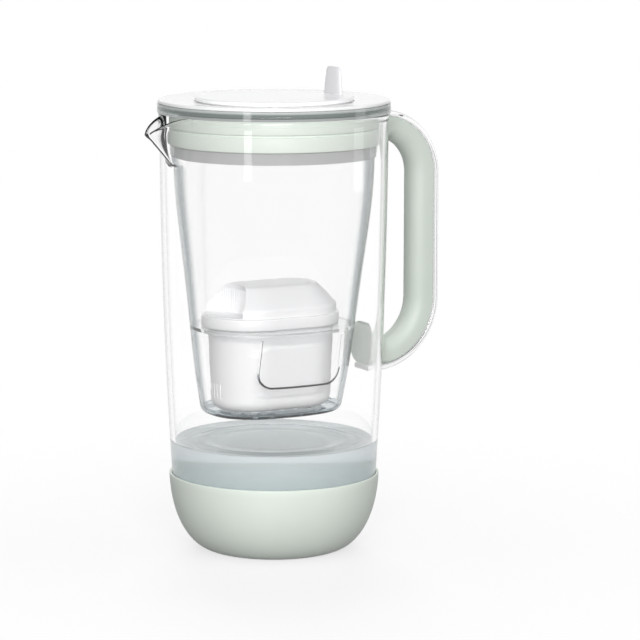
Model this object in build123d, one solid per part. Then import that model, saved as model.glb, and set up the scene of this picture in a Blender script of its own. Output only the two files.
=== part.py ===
"""Glass water jug with a lift-out filter funnel, a cartridge and a flip lid.

Millimetres, Z up, floor at z = 0, origin on the jug's axis.
The spout points to -X and the handle to +X, and the flap turns about an axis along Y.
"""
import os
from math import copysign, cos, hypot, pi, sin

from build123d import *

# ------------------------------------------------------------- driving sizes, mm
# glass jug
JUG_HEIGHT = 265.5        # floor to the top of the glass rim
NECK_RADIUS = 68.6        # outside of the wall under the rim
HEEL_RADIUS = 62.0        # outside of the wall at the boot's lip
WALL_BELLY = 1.7          # how far the wall bows out of a straight taper
GLASS_WALL = 3.0
GLASS_BASE = 5.0
PUNT_RISE = 3.0           # the inside of the bottom rises this much in the middle
RIM_BULGE = 0.8           # the rolled rim stands this far out of the wall
RIM_HEIGHT = 3.2
RIM_ROUND = 1.1
HEEL_LEAN = 0.6           # the heel leans in this much below the wall
# spout
SPOUT_REACH = 17.5        # tip of the lip outside the wall
SPOUT_DEPTH = 29.0        # root of the spout under the rim
SPOUT_HALF_ANGLE = 0.26   # radians each side of -X
SPOUT_ROOT_SHARE = 0.8    # half angle at the root, as a share of the lip's
SPOUT_NOSE = 0.16         # roundness of the ridge, as a share of the half angle
SPOUT_HOLLOW = 2.1        # over 1 the flanks are hollow, at 1 they are straight
SPOUT_WALL = 2.4
SPOUT_BITE = 1.2          # how far the spout's solid runs into the wall
CHANNEL_BITE = 2.0        # the same for its channel
LIP_DROP = 9.5            # tip of the lip under the rim
LIP_BOW = 0.26            # drop half way along the lip, as a share of LIP_DROP
LIP_LEAN = 2.0            # the half-way point lies this much nearer the tip
LIP_START = 4.0           # the lip starts to fall this far inside the jug's bore
SPOUT_STEPS = 6           # points of its outline each side of the ridge
SPOUT_LEVELS = 3          # steps between the root and the rim
# boot
BOOT_HEIGHT = 47.0
BOOT_LIP = 1.6            # thickness at its upper edge
BOOT_FLOOR = 3.0
BOOT_HEEL = 1.0           # thickness that the boot gains at its foot
FOOT_RADIUS = 36.0        # where the flat foot starts to round up
# handle
HANDLE_REACH = 41.6       # outer face of the strap outside the jug's neck
STRAP_THICKNESS = 3.3
HANDLE_WIDTH = 19.0
HANDLE_DROP = 1.4         # top of the strap under the rim
HANDLE_HEIGHT = 160.0
HANDLE_TOP_ARC = 40.0     # outer radius of the upper bend
HANDLE_FOOT_ARC = 43.5    # outer radius of the lower bend
GRIP_THICKNESS = 14.0
GRIP_ROUND = 4.5          # rounding of the edges that the fingers hold
PAD_WIDTH = 28.0
PAD_HEIGHT = 24.0
PAD_DEPTH = 9.0
PAD_ROUND = 10.0          # corner radius of the pad on the glass
PAD_NARROWING = 0.4       # the pad's head is this much thinner than the bar
# funnel
FUNNEL_WALL = 2.0
NECK_WALL = 2.4           # thicker than the hopper's wall, with a small step inside
FLANGE_OVERHANG = 0.6     # edge of the flange outside the glass rim
FLANGE_HEIGHT = 5.7
FLANGE_FLOOR = 2.2
EDGE_GROOVE_RISE = 2.5    # groove round the flange's edge, above its underside
EDGE_GROOVE_WIDTH = 0.6
EDGE_GROOVE_DEPTH = 0.5
HOPPER_TOP_DROP = 26.0    # top of the tapering hopper under the glass rim
HOPPER_DEPTH = 155.0
HOPPER_SQUARENESS = 2.5   # exponent of the oval bottom, 2 is an ellipse
HOPPER_TAPER = 1.5        # exponent of the taper, 1 is a straight cone
HOPPER_STEPS = 5          # sections that the taper is lofted through, less one
HOPPER_FLOOR = 2.4
HOPPER_ROUND = 5.0        # round between its sides and its underside
CUP_ROOM_BELOW = 7.0      # cup to the funnel's floor
CUP_ROOM_LONG = 5.1       # cup's foot to the inside of the funnel's foot, along X
CUP_ROOM_SHORT = 8.5      # the same along Y
SHOULDER_HEIGHT = 6.9
SHOULDER_PROUD = 0.8
LEDGE_THICKNESS = 2.0
DRAIN_SLOTS = 5
DRAIN_SLOT_WIDTH = 4.0
DRAIN_SLOT_LENGTH = 30.0
DRAIN_PITCH = 9.0
WINDOW_WIDTH = 56.0
WINDOW_HEIGHT = 30.0
WINDOW_LINE = 1.1         # width and height of the raised outline
WINDOW_PROUD = 0.6
WINDOW_CORNER = 10.0
WINDOW_RISE = 19.5        # foot of the outline above the funnel's underside
# collar
COLLAR_GAP = 2.7          # collar to the inside of the glass
COLLAR_THICKNESS = 2.5
COLLAR_GROOVE = 0.9       # depth of the groove between its two bands
COLLAR_GROOVE_WIDTH = 0.8
COLLAR_ROUND = 0.9
# cartridge
CARTRIDGE_LENGTH = 86.0   # over the flange
CARTRIDGE_WIDTH = 57.0
CARTRIDGE_SHIFT = -2.0    # centre along X
CARTRIDGE_FLANGE = 7.0
CUP_DEPTH = 44.0
CUP_TOP_INSET = 3.5       # cup wall inside the flange's edge
CUP_TAPER = 4.0           # how much each side draws in towards the bottom
CUP_WALL = 1.5
CUP_ROUND = 2.0           # round at the cup's foot
MOUTH_STEP = 1.0          # step in the cup's mouth that carries the screen and the cap
STEP_RISE = 2.0           # the step above the ledge
CUP_SLOT_ROWS = 2         # outlet slots in each end of the cup
CUP_SLOT_RISE = 3.0       # lowest slot above the cup's foot
CUP_SLOT_PITCH = 4.0
CUP_SLOT_HEIGHT = 1.6
CUP_SLOT_WIDTH = 14.0
CUP_SLOT_REACH = 12.0     # the slots are cut this far in from the flange's edge
CUP_PANEL_PROUD = 0.5     # raised panel on each flat side
CUP_PANEL_WIDTH = 46.0
CUP_PANEL_HEIGHT = 25.0
CUP_PANEL_RISE = 6.0
CUP_PANEL_CORNER = 7.0
CAP_HEIGHT = 18.0
CAP_INSET = 1.5           # cap inside the flange's edge
CAP_SKIRT = 5.0           # upright part of the cap above the flange
CAP_DRAW = 13.0           # the dome above it draws in this much
CAP_WALL = 1.6
CAP_ROUND = 5.0
SCOOP_RADIUS = 17.0
SCOOP_IN = 2.0            # axis of the scoop inside the flange's end
SCOOP_SIDE = 4.0          # and to one side, towards -Y
SCOOP_UP = 5.0            # and above the dome
SCOOP_TURN = 14.0         # degrees
SCOOP_SLOTS = 7
SCOOP_SLOT_WIDTH = 1.2
SCOOP_SLOT_PITCH = 3.0
SCOOP_SLOT_START = 11.0   # from the flange's end
SCOOP_SLOT_LENGTH = 8.0
VENTS = 5
VENT_RADIUS = 0.8
VENT_PITCH = 6.0
SCREEN_THICKNESS = 0.6
MEDIA_HEADROOM = 5.0
# lid
LID_THICKNESS = 2.0
LID_EDGE_GAP = 0.6        # edge of the lid inside the flange's edge
LID_ROUND = 0.9
SKIRT_DEPTH = 12.0
SKIRT_WALL = 2.0
SEAT_WIDTH = 4.1          # the opening's edge inside the flap's edge
SEAT_RISE = 0.2           # the flap's seat above the flange
HINGE_ROOM = 8.0          # flap's edge inside the skirt, where the hinge lies
FLAP_HEIGHT = 3.6
FLAP_SKIN = 2.0
FLAP_ROUND = 1.6
FLAP_RELIEF = 1.3         # bevel under the flap's edge, which clears the lid as it turns
PLUG_DEPTH = 4.0
PLUG_WALL = 2.0
TAB_WIDTH = 18.0
TAB_TOP_WIDTH = 13.0
TAB_THICKNESS = 4.0
TAB_TOP_THICKNESS = 2.6
TAB_HEIGHT = 16.0
TAB_INSET = 5.0           # rear face of the tab inside the flap's edge
TAB_LEAN = 0.3            # the tab's top lies this far behind its foot
TAB_ROUND = 4.0
FOOT_FRONT = 9.0          # the lever's foot in front of the tab's middle
FOOT_BACK = 1.0           # and behind it
FOOT_DROP = 1.0           # its underside below the hinge's axis
ARM_DROP = 1.6            # underside of the arm below the hinge's axis
ARM_RISE = 0.5            # its top above the axis
HINGE_BACK = 2.9          # hinge axis behind the flap's edge
HINGE_DROP = 0.1          # top of the knuckle under the lid's top
HINGE_PIN_RADIUS = 1.2
KNUCKLE_RADIUS = 2.2
KNUCKLE_WIDTH = 14.0
EAR_THICKNESS = 2.4
EAR_BACK = 1.0            # the ears run on behind the knuckle's room
# clearances
FIT_GAP = 0.4             # between pieces that lift apart
HINGE_GAP = 0.05          # pin in a knuckle
SIDE_GAP = 0.3            # beside a knuckle
TAB_GAP = 0.1             # round the tab in the flap
FILL_GAP = 0.1            # round the screen and the granules in the cup
# cutting shapes run this far past what they cut
PAST = 1.0
# length of a Bezier's handles that makes a quarter round
QUARTER = 0.5523

# ------------------------------------------------------------- derived radii
NECK_BORE = NECK_RADIUS - GLASS_WALL
FLANGE_RADIUS = NECK_RADIUS + RIM_BULGE + FLANGE_OVERHANG
FUNNEL_NECK_RADIUS = NECK_BORE - COLLAR_GAP - COLLAR_THICKNESS
NECK_INNER = FUNNEL_NECK_RADIUS - NECK_WALL
CUP_LENGTH = CARTRIDGE_LENGTH - 2 * (CUP_TOP_INSET + CUP_TAPER)
CUP_WIDTH = CARTRIDGE_WIDTH - 2 * (CUP_TOP_INSET + CUP_TAPER)
HOPPER_END_LONG = CUP_LENGTH / 2 + CUP_ROOM_LONG + FUNNEL_WALL
HOPPER_END_SHORT = CUP_WIDTH / 2 + CUP_ROOM_SHORT + FUNNEL_WALL
SKIRT_RADIUS = NECK_INNER - FIT_GAP
FLAP_RADIUS = SKIRT_RADIUS - SKIRT_WALL - HINGE_ROOM
OPENING_RADIUS = FLAP_RADIUS - SEAT_WIDTH
PLUG_RADIUS = OPENING_RADIUS - FIT_GAP
REBATE_RADIUS = FLAP_RADIUS + FIT_GAP
HINGE_X = FLAP_RADIUS + HINGE_BACK
KNUCKLE_BACK = HINGE_X + KNUCKLE_RADIUS + SIDE_GAP
KNUCKLE_HALF = KNUCKLE_WIDTH / 2 + SIDE_GAP
TAB_MIDDLE = FLAP_RADIUS - TAB_INSET - TAB_THICKNESS / 2
STRAP_OUT = NECK_RADIUS + HANDLE_REACH

# ------------------------------------------------------------- derived heights
FLANGE_TOP = JUG_HEIGHT + FLANGE_HEIGHT
HOPPER_TOP = JUG_HEIGHT - HOPPER_TOP_DROP
HOPPER_BOTTOM = HOPPER_TOP - HOPPER_DEPTH
COLLAR_BOTTOM = HOPPER_TOP + SHOULDER_HEIGHT
CUP_BOTTOM = HOPPER_BOTTOM + HOPPER_FLOOR + CUP_ROOM_BELOW
LEDGE_TOP = CUP_BOTTOM + CUP_DEPTH
CARTRIDGE_TOP = LEDGE_TOP + CARTRIDGE_FLANGE
LEDGE_UNDER = LEDGE_TOP - LEDGE_THICKNESS
CAP_BOTTOM = LEDGE_TOP + STEP_RISE + SCREEN_THICKNESS
CAP_TOP = CARTRIDGE_TOP + CAP_HEIGHT
LID_TOP = FLANGE_TOP + LID_THICKNESS
FLAP_SEAT = FLANGE_TOP + SEAT_RISE
FLAP_TOP = FLAP_SEAT + FLAP_HEIGHT
SEAT_UNDER = FLAP_SEAT - LID_THICKNESS
HINGE_Z = LID_TOP - KNUCKLE_RADIUS - HINGE_DROP
STRAP_TOP = JUG_HEIGHT - HANDLE_DROP
STRAP_BOTTOM = STRAP_TOP - HANDLE_HEIGHT


# ------------------------------------------------------------- shared outlines
def wall_radius(height):
    """Outside radius of the glass wall at a height, a parabola from heel to neck."""
    share = (height - BOOT_HEIGHT) / (JUG_HEIGHT - BOOT_HEIGHT)
    straight = HEEL_RADIUS + (NECK_RADIUS - HEEL_RADIUS) * share
    return straight + 4 * WALL_BELLY * share * (1 - share)


def wall_curve(inset):
    """The wall as an edge in the XZ plane. A quadratic Bezier is the same parabola."""
    foot, neck = HEEL_RADIUS - inset, NECK_RADIUS - inset
    middle = (foot + neck) / 2 + 2 * WALL_BELLY
    heights = BOOT_HEIGHT, (BOOT_HEIGHT + JUG_HEIGHT) / 2, JUG_HEIGHT
    return Bezier((foot, 0, heights[0]), (middle, 0, heights[1]), (neck, 0, heights[2]))


def heel_curve(top_radius, top, foot_radius, foot):
    """A quarter oval in the XZ plane, from the flat foot up to the wall."""
    return Bezier(
        (foot_radius, 0, foot),
        (foot_radius + QUARTER * (top_radius - foot_radius), 0, foot),
        (top_radius - HEEL_LEAN, 0, top - QUARTER * (top - foot)),
        (top_radius, 0, top),
    )


def turned(*edges):
    """Revolve closed edges of the XZ plane about the jug's axis."""
    return revolve(make_face(Wire(edges)), Axis.Z)


def ring(inner, outer, bottom, top):
    """A plain ring about the jug's axis."""
    rim = Circle(outer) - Circle(inner)
    return extrude(Plane.XY.offset(bottom) * rim, top - bottom)


def disc(radius, bottom, top):
    return extrude(Plane.XY.offset(bottom) * Circle(radius), top - bottom)


def block(x, y, z):
    """A box from three (low, high) pairs."""
    size = [high - low for low, high in (x, y, z)]
    middle = [(high + low) / 2 for low, high in (x, y, z)]
    return Pos(*middle) * Box(*size)


def hinge_rod(radius, length):
    """A rod along the flap's hinge axis."""
    return Pos(HINGE_X, 0, HINGE_Z) * Rot(90, 0, 0) * Cylinder(radius, length)


# ------------------------------------------------------------- the glass jug
def nose(share):
    """Plan of the spout: 1 at the ridge, 0 at its sides, with a small round at the ridge."""
    blunt = hypot(share, SPOUT_NOSE) - SPOUT_NOSE
    full = hypot(1, SPOUT_NOSE) - SPOUT_NOSE
    return max(0.0, 1 - blunt / full) ** SPOUT_HOLLOW


def spout_section(height, inset, overlap):
    """One level of the spout, from inside the wall out to the nose."""
    share = (height - (JUG_HEIGHT - SPOUT_DEPTH)) / (SPOUT_DEPTH - LIP_DROP)
    reach = SPOUT_REACH * share
    base = wall_radius(height) - inset - overlap
    half_angle = SPOUT_HALF_ANGLE * (SPOUT_ROOT_SHARE + (1 - SPOUT_ROOT_SHARE) * share)
    outline = []
    for step in range(-SPOUT_STEPS, SPOUT_STEPS + 1):
        angle = pi + half_angle * step / SPOUT_STEPS
        radius = base + (reach + overlap) * nose(step / SPOUT_STEPS)
        outline.append((radius * cos(angle), radius * sin(angle)))
    front = Spline(*outline)
    back_x = -(base - GLASS_WALL) * cos(half_angle)
    back = Polyline(outline[-1], (back_x, outline[-1][1]), (back_x, outline[0][1]), outline[0])
    return Plane.XY.offset(height) * make_face(front + back)


def spout_solid(inset, overlap):
    root = JUG_HEIGHT - SPOUT_DEPTH
    levels = [root + SPOUT_DEPTH * step / SPOUT_LEVELS for step in range(SPOUT_LEVELS + 1)]
    return loft([spout_section(level, inset, overlap) for level in levels])


def above_the_lip():
    """What is cut away over the spout, with a lip that curves down to the tip."""
    tip = -(wall_radius(JUG_HEIGHT - LIP_DROP) + SPOUT_REACH)
    start = -(NECK_BORE - LIP_START)
    lip = ThreePointArc(
        (start, 0, JUG_HEIGHT),
        ((start + tip) / 2 - LIP_LEAN, 0, JUG_HEIGHT - LIP_BOW * LIP_DROP),
        (tip - PAST, 0, JUG_HEIGHT - LIP_DROP - PAST),
    )
    low, far = (lip @ 1).Z, tip - SPOUT_REACH
    over = Polyline(lip @ 1, (far, 0, low), (far, 0, FLANGE_TOP), (start, 0, FLANGE_TOP), lip @ 0)
    profile = make_face(Wire([*lip.edges(), *over.edges()]))
    return extrude(profile, 2 * NECK_RADIUS, both=True)


def glass_outside():
    """The solid shape of the wall and heel, before it is hollowed."""
    heel = heel_curve(HEEL_RADIUS, BOOT_HEIGHT, FOOT_RADIUS, BOOT_FLOOR)
    wall = wall_curve(0)
    back = Polyline(wall @ 1, (0, 0, JUG_HEIGHT), (0, 0, BOOT_FLOOR), heel @ 0)
    return turned(heel, wall, *back.edges())


def glass_inside():
    """The space inside the glass. Its floor rises to a low punt in the middle."""
    floor = BOOT_FLOOR + GLASS_BASE
    crown, swing = floor + PUNT_RISE, FOOT_RADIUS / 2
    heel = heel_curve(HEEL_RADIUS - GLASS_WALL, BOOT_HEIGHT, FOOT_RADIUS - GLASS_WALL, floor)
    wall = wall_curve(GLASS_WALL)
    lid = Polyline(wall @ 1, (0, 0, JUG_HEIGHT), (0, 0, crown))
    punt = Bezier((0, 0, crown), (swing, 0, crown), (swing, 0, floor), heel @ 0)
    return turned(heel, wall, *lid.edges(), punt)


def rolled_rim():
    """The fire-polished rim: a flat land between two rounds."""
    bead = ring(NECK_BORE, NECK_RADIUS + RIM_BULGE, JUG_HEIGHT - RIM_HEIGHT, JUG_HEIGHT)
    return fillet(bead.edges().filter_by(GeomType.CIRCLE).group_by(Axis.Z)[-1], RIM_ROUND)


def make_glass_jug():
    body = glass_outside() + spout_solid(0, SPOUT_BITE)
    body -= glass_inside()
    body += rolled_rim()
    body -= spout_solid(SPOUT_WALL, CHANNEL_BITE)
    return body - above_the_lip()


# ------------------------------------------------------------- boot and handle
def make_base_boot():
    """Soft boot over the jug's bottom."""
    lip_radius = HEEL_RADIUS + BOOT_LIP
    heel = heel_curve(lip_radius, BOOT_HEIGHT, FOOT_RADIUS + BOOT_HEEL, 0)
    across = Polyline((0, 0, BOOT_HEIGHT), (0, 0, 0), heel @ 0)
    over = Polyline(heel @ 1, (0, 0, BOOT_HEIGHT))
    full = turned(heel, *over.edges(), *across.edges())
    return full - glass_outside()


def handle_outline(inset):
    """Side view of the handle, inset from the strap's outer face, closed inside the jug."""
    out = STRAP_OUT - inset
    top, bottom = STRAP_TOP - inset, STRAP_BOTTOM + inset
    top_arc, foot_arc = HANDLE_TOP_ARC - inset, HANDLE_FOOT_ARC - inset
    inside = HEEL_RADIUS - 2 * GLASS_WALL
    loop = Polyline((inside, bottom), (out, bottom), (out, top), (inside, top), close=True)
    face = make_face(loop)
    high = face.vertices().group_by(Axis.Y)[-1].sort_by(Axis.X)[-1]
    face = fillet(high, top_arc)
    low = face.vertices().group_by(Axis.Y)[0].sort_by(Axis.X)[-1]
    return fillet(low, foot_arc)


def handle_slab(inset, width):
    """The side view of the handle, drawn out to a width along Y."""
    face = Plane.XZ * handle_outline(inset)
    return extrude(face, width / 2, both=True)


def make_glass_handle():
    strap = handle_slab(0, HANDLE_WIDTH) - handle_slab(STRAP_THICKNESS, 2 * HANDLE_WIDTH)
    long_edges = strap.faces().sort_by(Axis.X)[-1].edges().filter_by(Axis.Z)
    strap = fillet(long_edges, STRAP_THICKNESS / 3)
    return strap - glass_outside() - rolled_rim_solid()


def rolled_rim_solid():
    """The rim with its bore filled, for cutting what butts against it."""
    return disc(NECK_RADIUS + RIM_BULGE, JUG_HEIGHT - RIM_HEIGHT, JUG_HEIGHT)


def grip_pad(bar_height, pad_height):
    """The flared end of the grip, from a rounded pad on the glass to the bar's section."""
    bar = RectangleRounded(HANDLE_WIDTH, GRIP_THICKNESS - PAD_NARROWING, GRIP_ROUND)
    pad = RectangleRounded(PAD_WIDTH, PAD_HEIGHT, PAD_ROUND)
    start = wall_radius(pad_height) - 1.5 * GLASS_WALL
    end = wall_radius(pad_height) + PAD_DEPTH
    foot = Plane(origin=(start, 0, pad_height), x_dir=(0, 1, 0), z_dir=(1, 0, 0))
    head = Plane(origin=(end, 0, bar_height), x_dir=(0, 1, 0), z_dir=(1, 0, 0))
    return loft([foot * pad, head * bar])


def make_handle_grip():
    outer = handle_slab(STRAP_THICKNESS, HANDLE_WIDTH)
    bar = outer - handle_slab(STRAP_THICKNESS + GRIP_THICKNESS, 2 * HANDLE_WIDTH)
    inner_face = bar.faces().filter_by(GeomType.PLANE).filter_by(Axis.X).sort_by(Axis.X)[-2]
    finger_edges = inner_face.edges().filter_by(Axis.Z)
    bar = fillet(finger_edges, GRIP_ROUND)
    upper, lower = STRAP_TOP - STRAP_THICKNESS, STRAP_BOTTOM + STRAP_THICKNESS
    bar += grip_pad(upper - GRIP_THICKNESS / 2, upper - PAD_HEIGHT / 2)
    bar += grip_pad(lower + GRIP_THICKNESS / 2, lower + PAD_HEIGHT / 2)
    within_strap = handle_slab(STRAP_THICKNESS, 2 * PAD_WIDTH)
    return (bar & within_strap) - glass_outside() - rolled_rim_solid()


# ------------------------------------------------------------- the funnel
def superellipse(half_long, half_short, exponent, height, count=24):
    """A rounded oval. The exponent sets how square it is, 2 for an ellipse."""
    points = []
    for step in range(count):
        turn = 2 * pi * step / count
        x = half_long * copysign(abs(cos(turn)) ** (2 / exponent), cos(turn))
        y = half_short * copysign(abs(sin(turn)) ** (2 / exponent), sin(turn))
        points.append((x, y))
    outline = make_face(Spline(*points, periodic=True))
    return Pos(0, 0, height) * outline


def hopper_section(share, inset):
    """The funnel's outline at a share of its depth, round at 0 and oval at 1."""
    drawn = share ** HOPPER_TAPER
    half_long = FUNNEL_NECK_RADIUS - (FUNNEL_NECK_RADIUS - HOPPER_END_LONG) * drawn
    half_short = FUNNEL_NECK_RADIUS - (FUNNEL_NECK_RADIUS - HOPPER_END_SHORT) * drawn
    exponent = 2 + (HOPPER_SQUARENESS - 2) * share
    height = HOPPER_TOP - HOPPER_DEPTH * share
    section = superellipse(half_long - inset, half_short - inset, exponent, height)
    return Pos(CARTRIDGE_SHIFT * drawn, 0, 0) * section


def hopper_solid(inset):
    return loft([hopper_section(step / HOPPER_STEPS, inset) for step in range(HOPPER_STEPS + 1)])


def hopper_shell():
    """The tapering wall and the floor, hollow from the floor up."""
    outside = hopper_solid(0)
    outside = fillet(outside.edges().sort_by(Axis.Z)[0], HOPPER_ROUND)
    floor = disc(NECK_RADIUS, HOPPER_BOTTOM - PAST, HOPPER_BOTTOM + HOPPER_FLOOR)
    return outside - (hopper_solid(FUNNEL_WALL) - floor)


def stadium(length, width, bottom, top, inset_top=0.0):
    """A round-ended block on the cartridge's centre line, drawn in at its top."""
    low = Pos(CARTRIDGE_SHIFT, 0, bottom) * SlotOverall(length, width)
    if inset_top:
        high = SlotOverall(length - 2 * inset_top, width - 2 * inset_top)
        return loft([low, Pos(CARTRIDGE_SHIFT, 0, top) * high])
    return extrude(low, top - bottom)


def side_on(height):
    """The upright plane through the cartridge's centre, seen from -Y."""
    return Plane(origin=(CARTRIDGE_SHIFT, 0, height), x_dir=(1, 0, 0), z_dir=(0, -1, 0))


def cartridge_ledge():
    """Shelf across the hopper with the hole that the cartridge hangs in."""
    shelf = hopper_solid(FUNNEL_WALL / 2) & disc(NECK_RADIUS, LEDGE_UNDER, LEDGE_TOP)
    hole_length = CARTRIDGE_LENGTH - 2 * CUP_TOP_INSET + 2 * FIT_GAP
    hole_width = CARTRIDGE_WIDTH - 2 * CUP_TOP_INSET + 2 * FIT_GAP
    return shelf - stadium(hole_length, hole_width, LEDGE_UNDER - PAST, LEDGE_TOP + PAST)


def window_outline():
    """Raised U on the side of the funnel, open at its top."""
    low = HOPPER_BOTTOM + WINDOW_RISE
    full_height = WINDOW_HEIGHT + 2 * WINDOW_CORNER
    frame = RectangleRounded(WINDOW_WIDTH, full_height, WINDOW_CORNER)
    hollow = RectangleRounded(
        WINDOW_WIDTH - 2 * WINDOW_LINE, full_height - 2 * WINDOW_LINE, WINDOW_CORNER - WINDOW_LINE
    )
    prism = extrude(side_on(low + full_height / 2) * (frame - hollow), FUNNEL_NECK_RADIUS)
    prism &= block((-NECK_RADIUS, NECK_RADIUS), (-NECK_RADIUS, 0), (low - PAST, low + WINDOW_HEIGHT))
    return (prism & hopper_solid(-WINDOW_PROUD)) - hopper_solid(FUNNEL_WALL / 2)


def funnel_neck():
    """Neck, shoulder and the hollow flange that rests on the glass rim."""
    neck = ring(NECK_INNER, FUNNEL_NECK_RADIUS, HOPPER_TOP, FLANGE_TOP)
    shoulder = ring(NECK_INNER, FUNNEL_NECK_RADIUS + SHOULDER_PROUD, HOPPER_TOP, COLLAR_BOTTOM)
    flange = ring(NECK_INNER, FLANGE_RADIUS, JUG_HEIGHT, FLANGE_TOP)
    channel_floor = JUG_HEIGHT + FLANGE_FLOOR
    channel = ring(FUNNEL_NECK_RADIUS, FLANGE_RADIUS - FUNNEL_WALL, channel_floor, FLANGE_TOP + PAST)
    low = JUG_HEIGHT + EDGE_GROOVE_RISE
    groove = ring(FLANGE_RADIUS - EDGE_GROOVE_DEPTH, FLANGE_RADIUS + PAST, low, low + EDGE_GROOVE_WIDTH)
    return neck + shoulder + (flange - channel - groove)


def drain_slots():
    """Row of slots in the funnel's floor."""
    slot = extrude(SlotOverall(DRAIN_SLOT_LENGTH, DRAIN_SLOT_WIDTH, rotation=90), HOPPER_FLOOR + 2 * PAST)
    first = CARTRIDGE_SHIFT - DRAIN_PITCH * (DRAIN_SLOTS - 1) / 2
    return [Pos(first + DRAIN_PITCH * step, 0, HOPPER_BOTTOM - PAST) * slot for step in range(DRAIN_SLOTS)]


def make_funnel_hopper():
    funnel = hopper_shell() + funnel_neck() + cartridge_ledge() + window_outline()
    for slot in drain_slots():
        funnel -= slot
    return funnel


def make_neck_collar():
    """Soft collar round the funnel's neck, two bands with a groove between them."""
    outer = FUNNEL_NECK_RADIUS + COLLAR_THICKNESS
    half = (JUG_HEIGHT - COLLAR_BOTTOM - COLLAR_GROOVE_WIDTH) / 2
    collar = ring(FUNNEL_NECK_RADIUS, outer - COLLAR_GROOVE, COLLAR_BOTTOM + PAST, JUG_HEIGHT - PAST)
    for bottom in (COLLAR_BOTTOM, JUG_HEIGHT - half):
        band = ring(FUNNEL_NECK_RADIUS, outer, bottom, bottom + half)
        outer_edges = band.edges().filter_by(GeomType.CIRCLE).group_by(SortBy.RADIUS)[-1]
        collar += fillet(outer_edges, COLLAR_ROUND)
    return collar


# ------------------------------------------------------------- the cartridge
def cup_solid(inset, bottom, top):
    """The cup's tapering body, inset from its outside and cut to a height range."""
    full = stadium(CUP_LENGTH - 2 * inset, CUP_WIDTH - 2 * inset, CUP_BOTTOM, LEDGE_TOP, -CUP_TAPER)
    return full & block((-NECK_RADIUS, NECK_RADIUS), (-NECK_RADIUS, NECK_RADIUS), (bottom, top))


def in_mouth(inset, bottom, top):
    """A block inside the cup's mouth, inset from the inside of the cup's wall."""
    inside = 2 * (CUP_TOP_INSET + CUP_WALL + inset)
    return stadium(CARTRIDGE_LENGTH - inside, CARTRIDGE_WIDTH - inside, bottom, top)


def cup_slots():
    """Outlet slots, in rows through both ends of the cup."""
    slots = []
    across = -CUP_SLOT_WIDTH / 2, CUP_SLOT_WIDTH / 2
    for side in (-1, 1):
        end = CARTRIDGE_SHIFT + side * CARTRIDGE_LENGTH / 2
        along = sorted((end, end - side * CUP_SLOT_REACH))
        for row in range(CUP_SLOT_ROWS):
            low = CUP_BOTTOM + CUP_SLOT_RISE + CUP_SLOT_PITCH * row
            slots.append(block(along, across, (low, low + CUP_SLOT_HEIGHT)))
    return slots


def make_cartridge_cup():
    """Cup with a flange that lies on the ledge, open at its top."""
    outside = cup_solid(0, CUP_BOTTOM, LEDGE_TOP)
    outside = fillet(outside.edges().group_by(Axis.Z)[0], CUP_ROUND)
    outside += stadium(CARTRIDGE_LENGTH, CARTRIDGE_WIDTH, LEDGE_TOP, CARTRIDGE_TOP)
    panel = RectangleRounded(CUP_PANEL_WIDTH, CUP_PANEL_HEIGHT, CUP_PANEL_CORNER)
    panel_middle = CUP_BOTTOM + CUP_PANEL_RISE + CUP_PANEL_HEIGHT / 2
    prism = extrude(side_on(panel_middle) * panel, CARTRIDGE_WIDTH, both=True)
    outside += prism & cup_solid(-CUP_PANEL_PROUD, CUP_BOTTOM + PAST, LEDGE_UNDER - PAST)
    hollow = cup_solid(CUP_WALL, CUP_BOTTOM + CUP_WALL, LEDGE_TOP)
    throat = in_mouth(0, LEDGE_TOP, LEDGE_TOP + STEP_RISE)
    mouth = in_mouth(-MOUTH_STEP, LEDGE_TOP + STEP_RISE, CARTRIDGE_TOP)
    cup = outside - hollow - throat - mouth
    for slot in cup_slots():
        cup -= slot
    return cup


def cap_solid(inset):
    """The cap on the flange: an upright skirt under a dome that draws in to its top."""
    inside = 2 * (CAP_INSET + inset)
    length, width = CARTRIDGE_LENGTH - inside, CARTRIDGE_WIDTH - inside
    skirt_top = CARTRIDGE_TOP + CAP_SKIRT
    dome = stadium(length, width, skirt_top, CAP_TOP - inset, CAP_DRAW)
    dome = fillet(dome.edges().group_by(Axis.Z)[-1], CAP_ROUND)
    return dome + stadium(length, width, CARTRIDGE_TOP + inset, skirt_top)


def scoop(radius):
    """A slanted round that bites out of the end of the dome."""
    end = CARTRIDGE_SHIFT - CARTRIDGE_LENGTH / 2
    rod = Rot(90, 0, 0) * Rot(0, SCOOP_TURN, 0) * Cylinder(radius, 2 * CARTRIDGE_WIDTH)
    return Pos(end + SCOOP_IN, -SCOOP_SIDE, CAP_TOP + SCOOP_UP) * rod


def make_cartridge_cap():
    """Domed cap with a scoop at one end, intake slots in it and vents on top."""
    dome = cap_solid(0) - scoop(SCOOP_RADIUS)
    dome += in_mouth(-MOUTH_STEP, CAP_BOTTOM, CARTRIDGE_TOP)
    cap = dome - (cap_solid(CAP_WALL) - scoop(SCOOP_RADIUS + CAP_WALL))
    cap -= in_mouth(CAP_WALL - MOUTH_STEP, CAP_BOTTOM - PAST, CARTRIDGE_TOP + CAP_WALL)
    start = CARTRIDGE_SHIFT - CARTRIDGE_LENGTH / 2 + SCOOP_SLOT_START
    along = start, start + SCOOP_SLOT_LENGTH
    for step in range(SCOOP_SLOTS):
        y = SCOOP_SLOT_PITCH * (step - (SCOOP_SLOTS - 1) / 2)
        across = y - SCOOP_SLOT_WIDTH / 2, y + SCOOP_SLOT_WIDTH / 2
        cap -= block(along, across, (CARTRIDGE_TOP - PAST, CAP_TOP))
    for step in range(VENTS):
        x = CARTRIDGE_SHIFT + VENT_PITCH * (step - 1)
        y = VENT_PITCH / 2 * (-1) ** step
        cap -= Pos(x, y, CAP_TOP) * Cylinder(VENT_RADIUS, 4 * CAP_WALL)
    return cap


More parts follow.
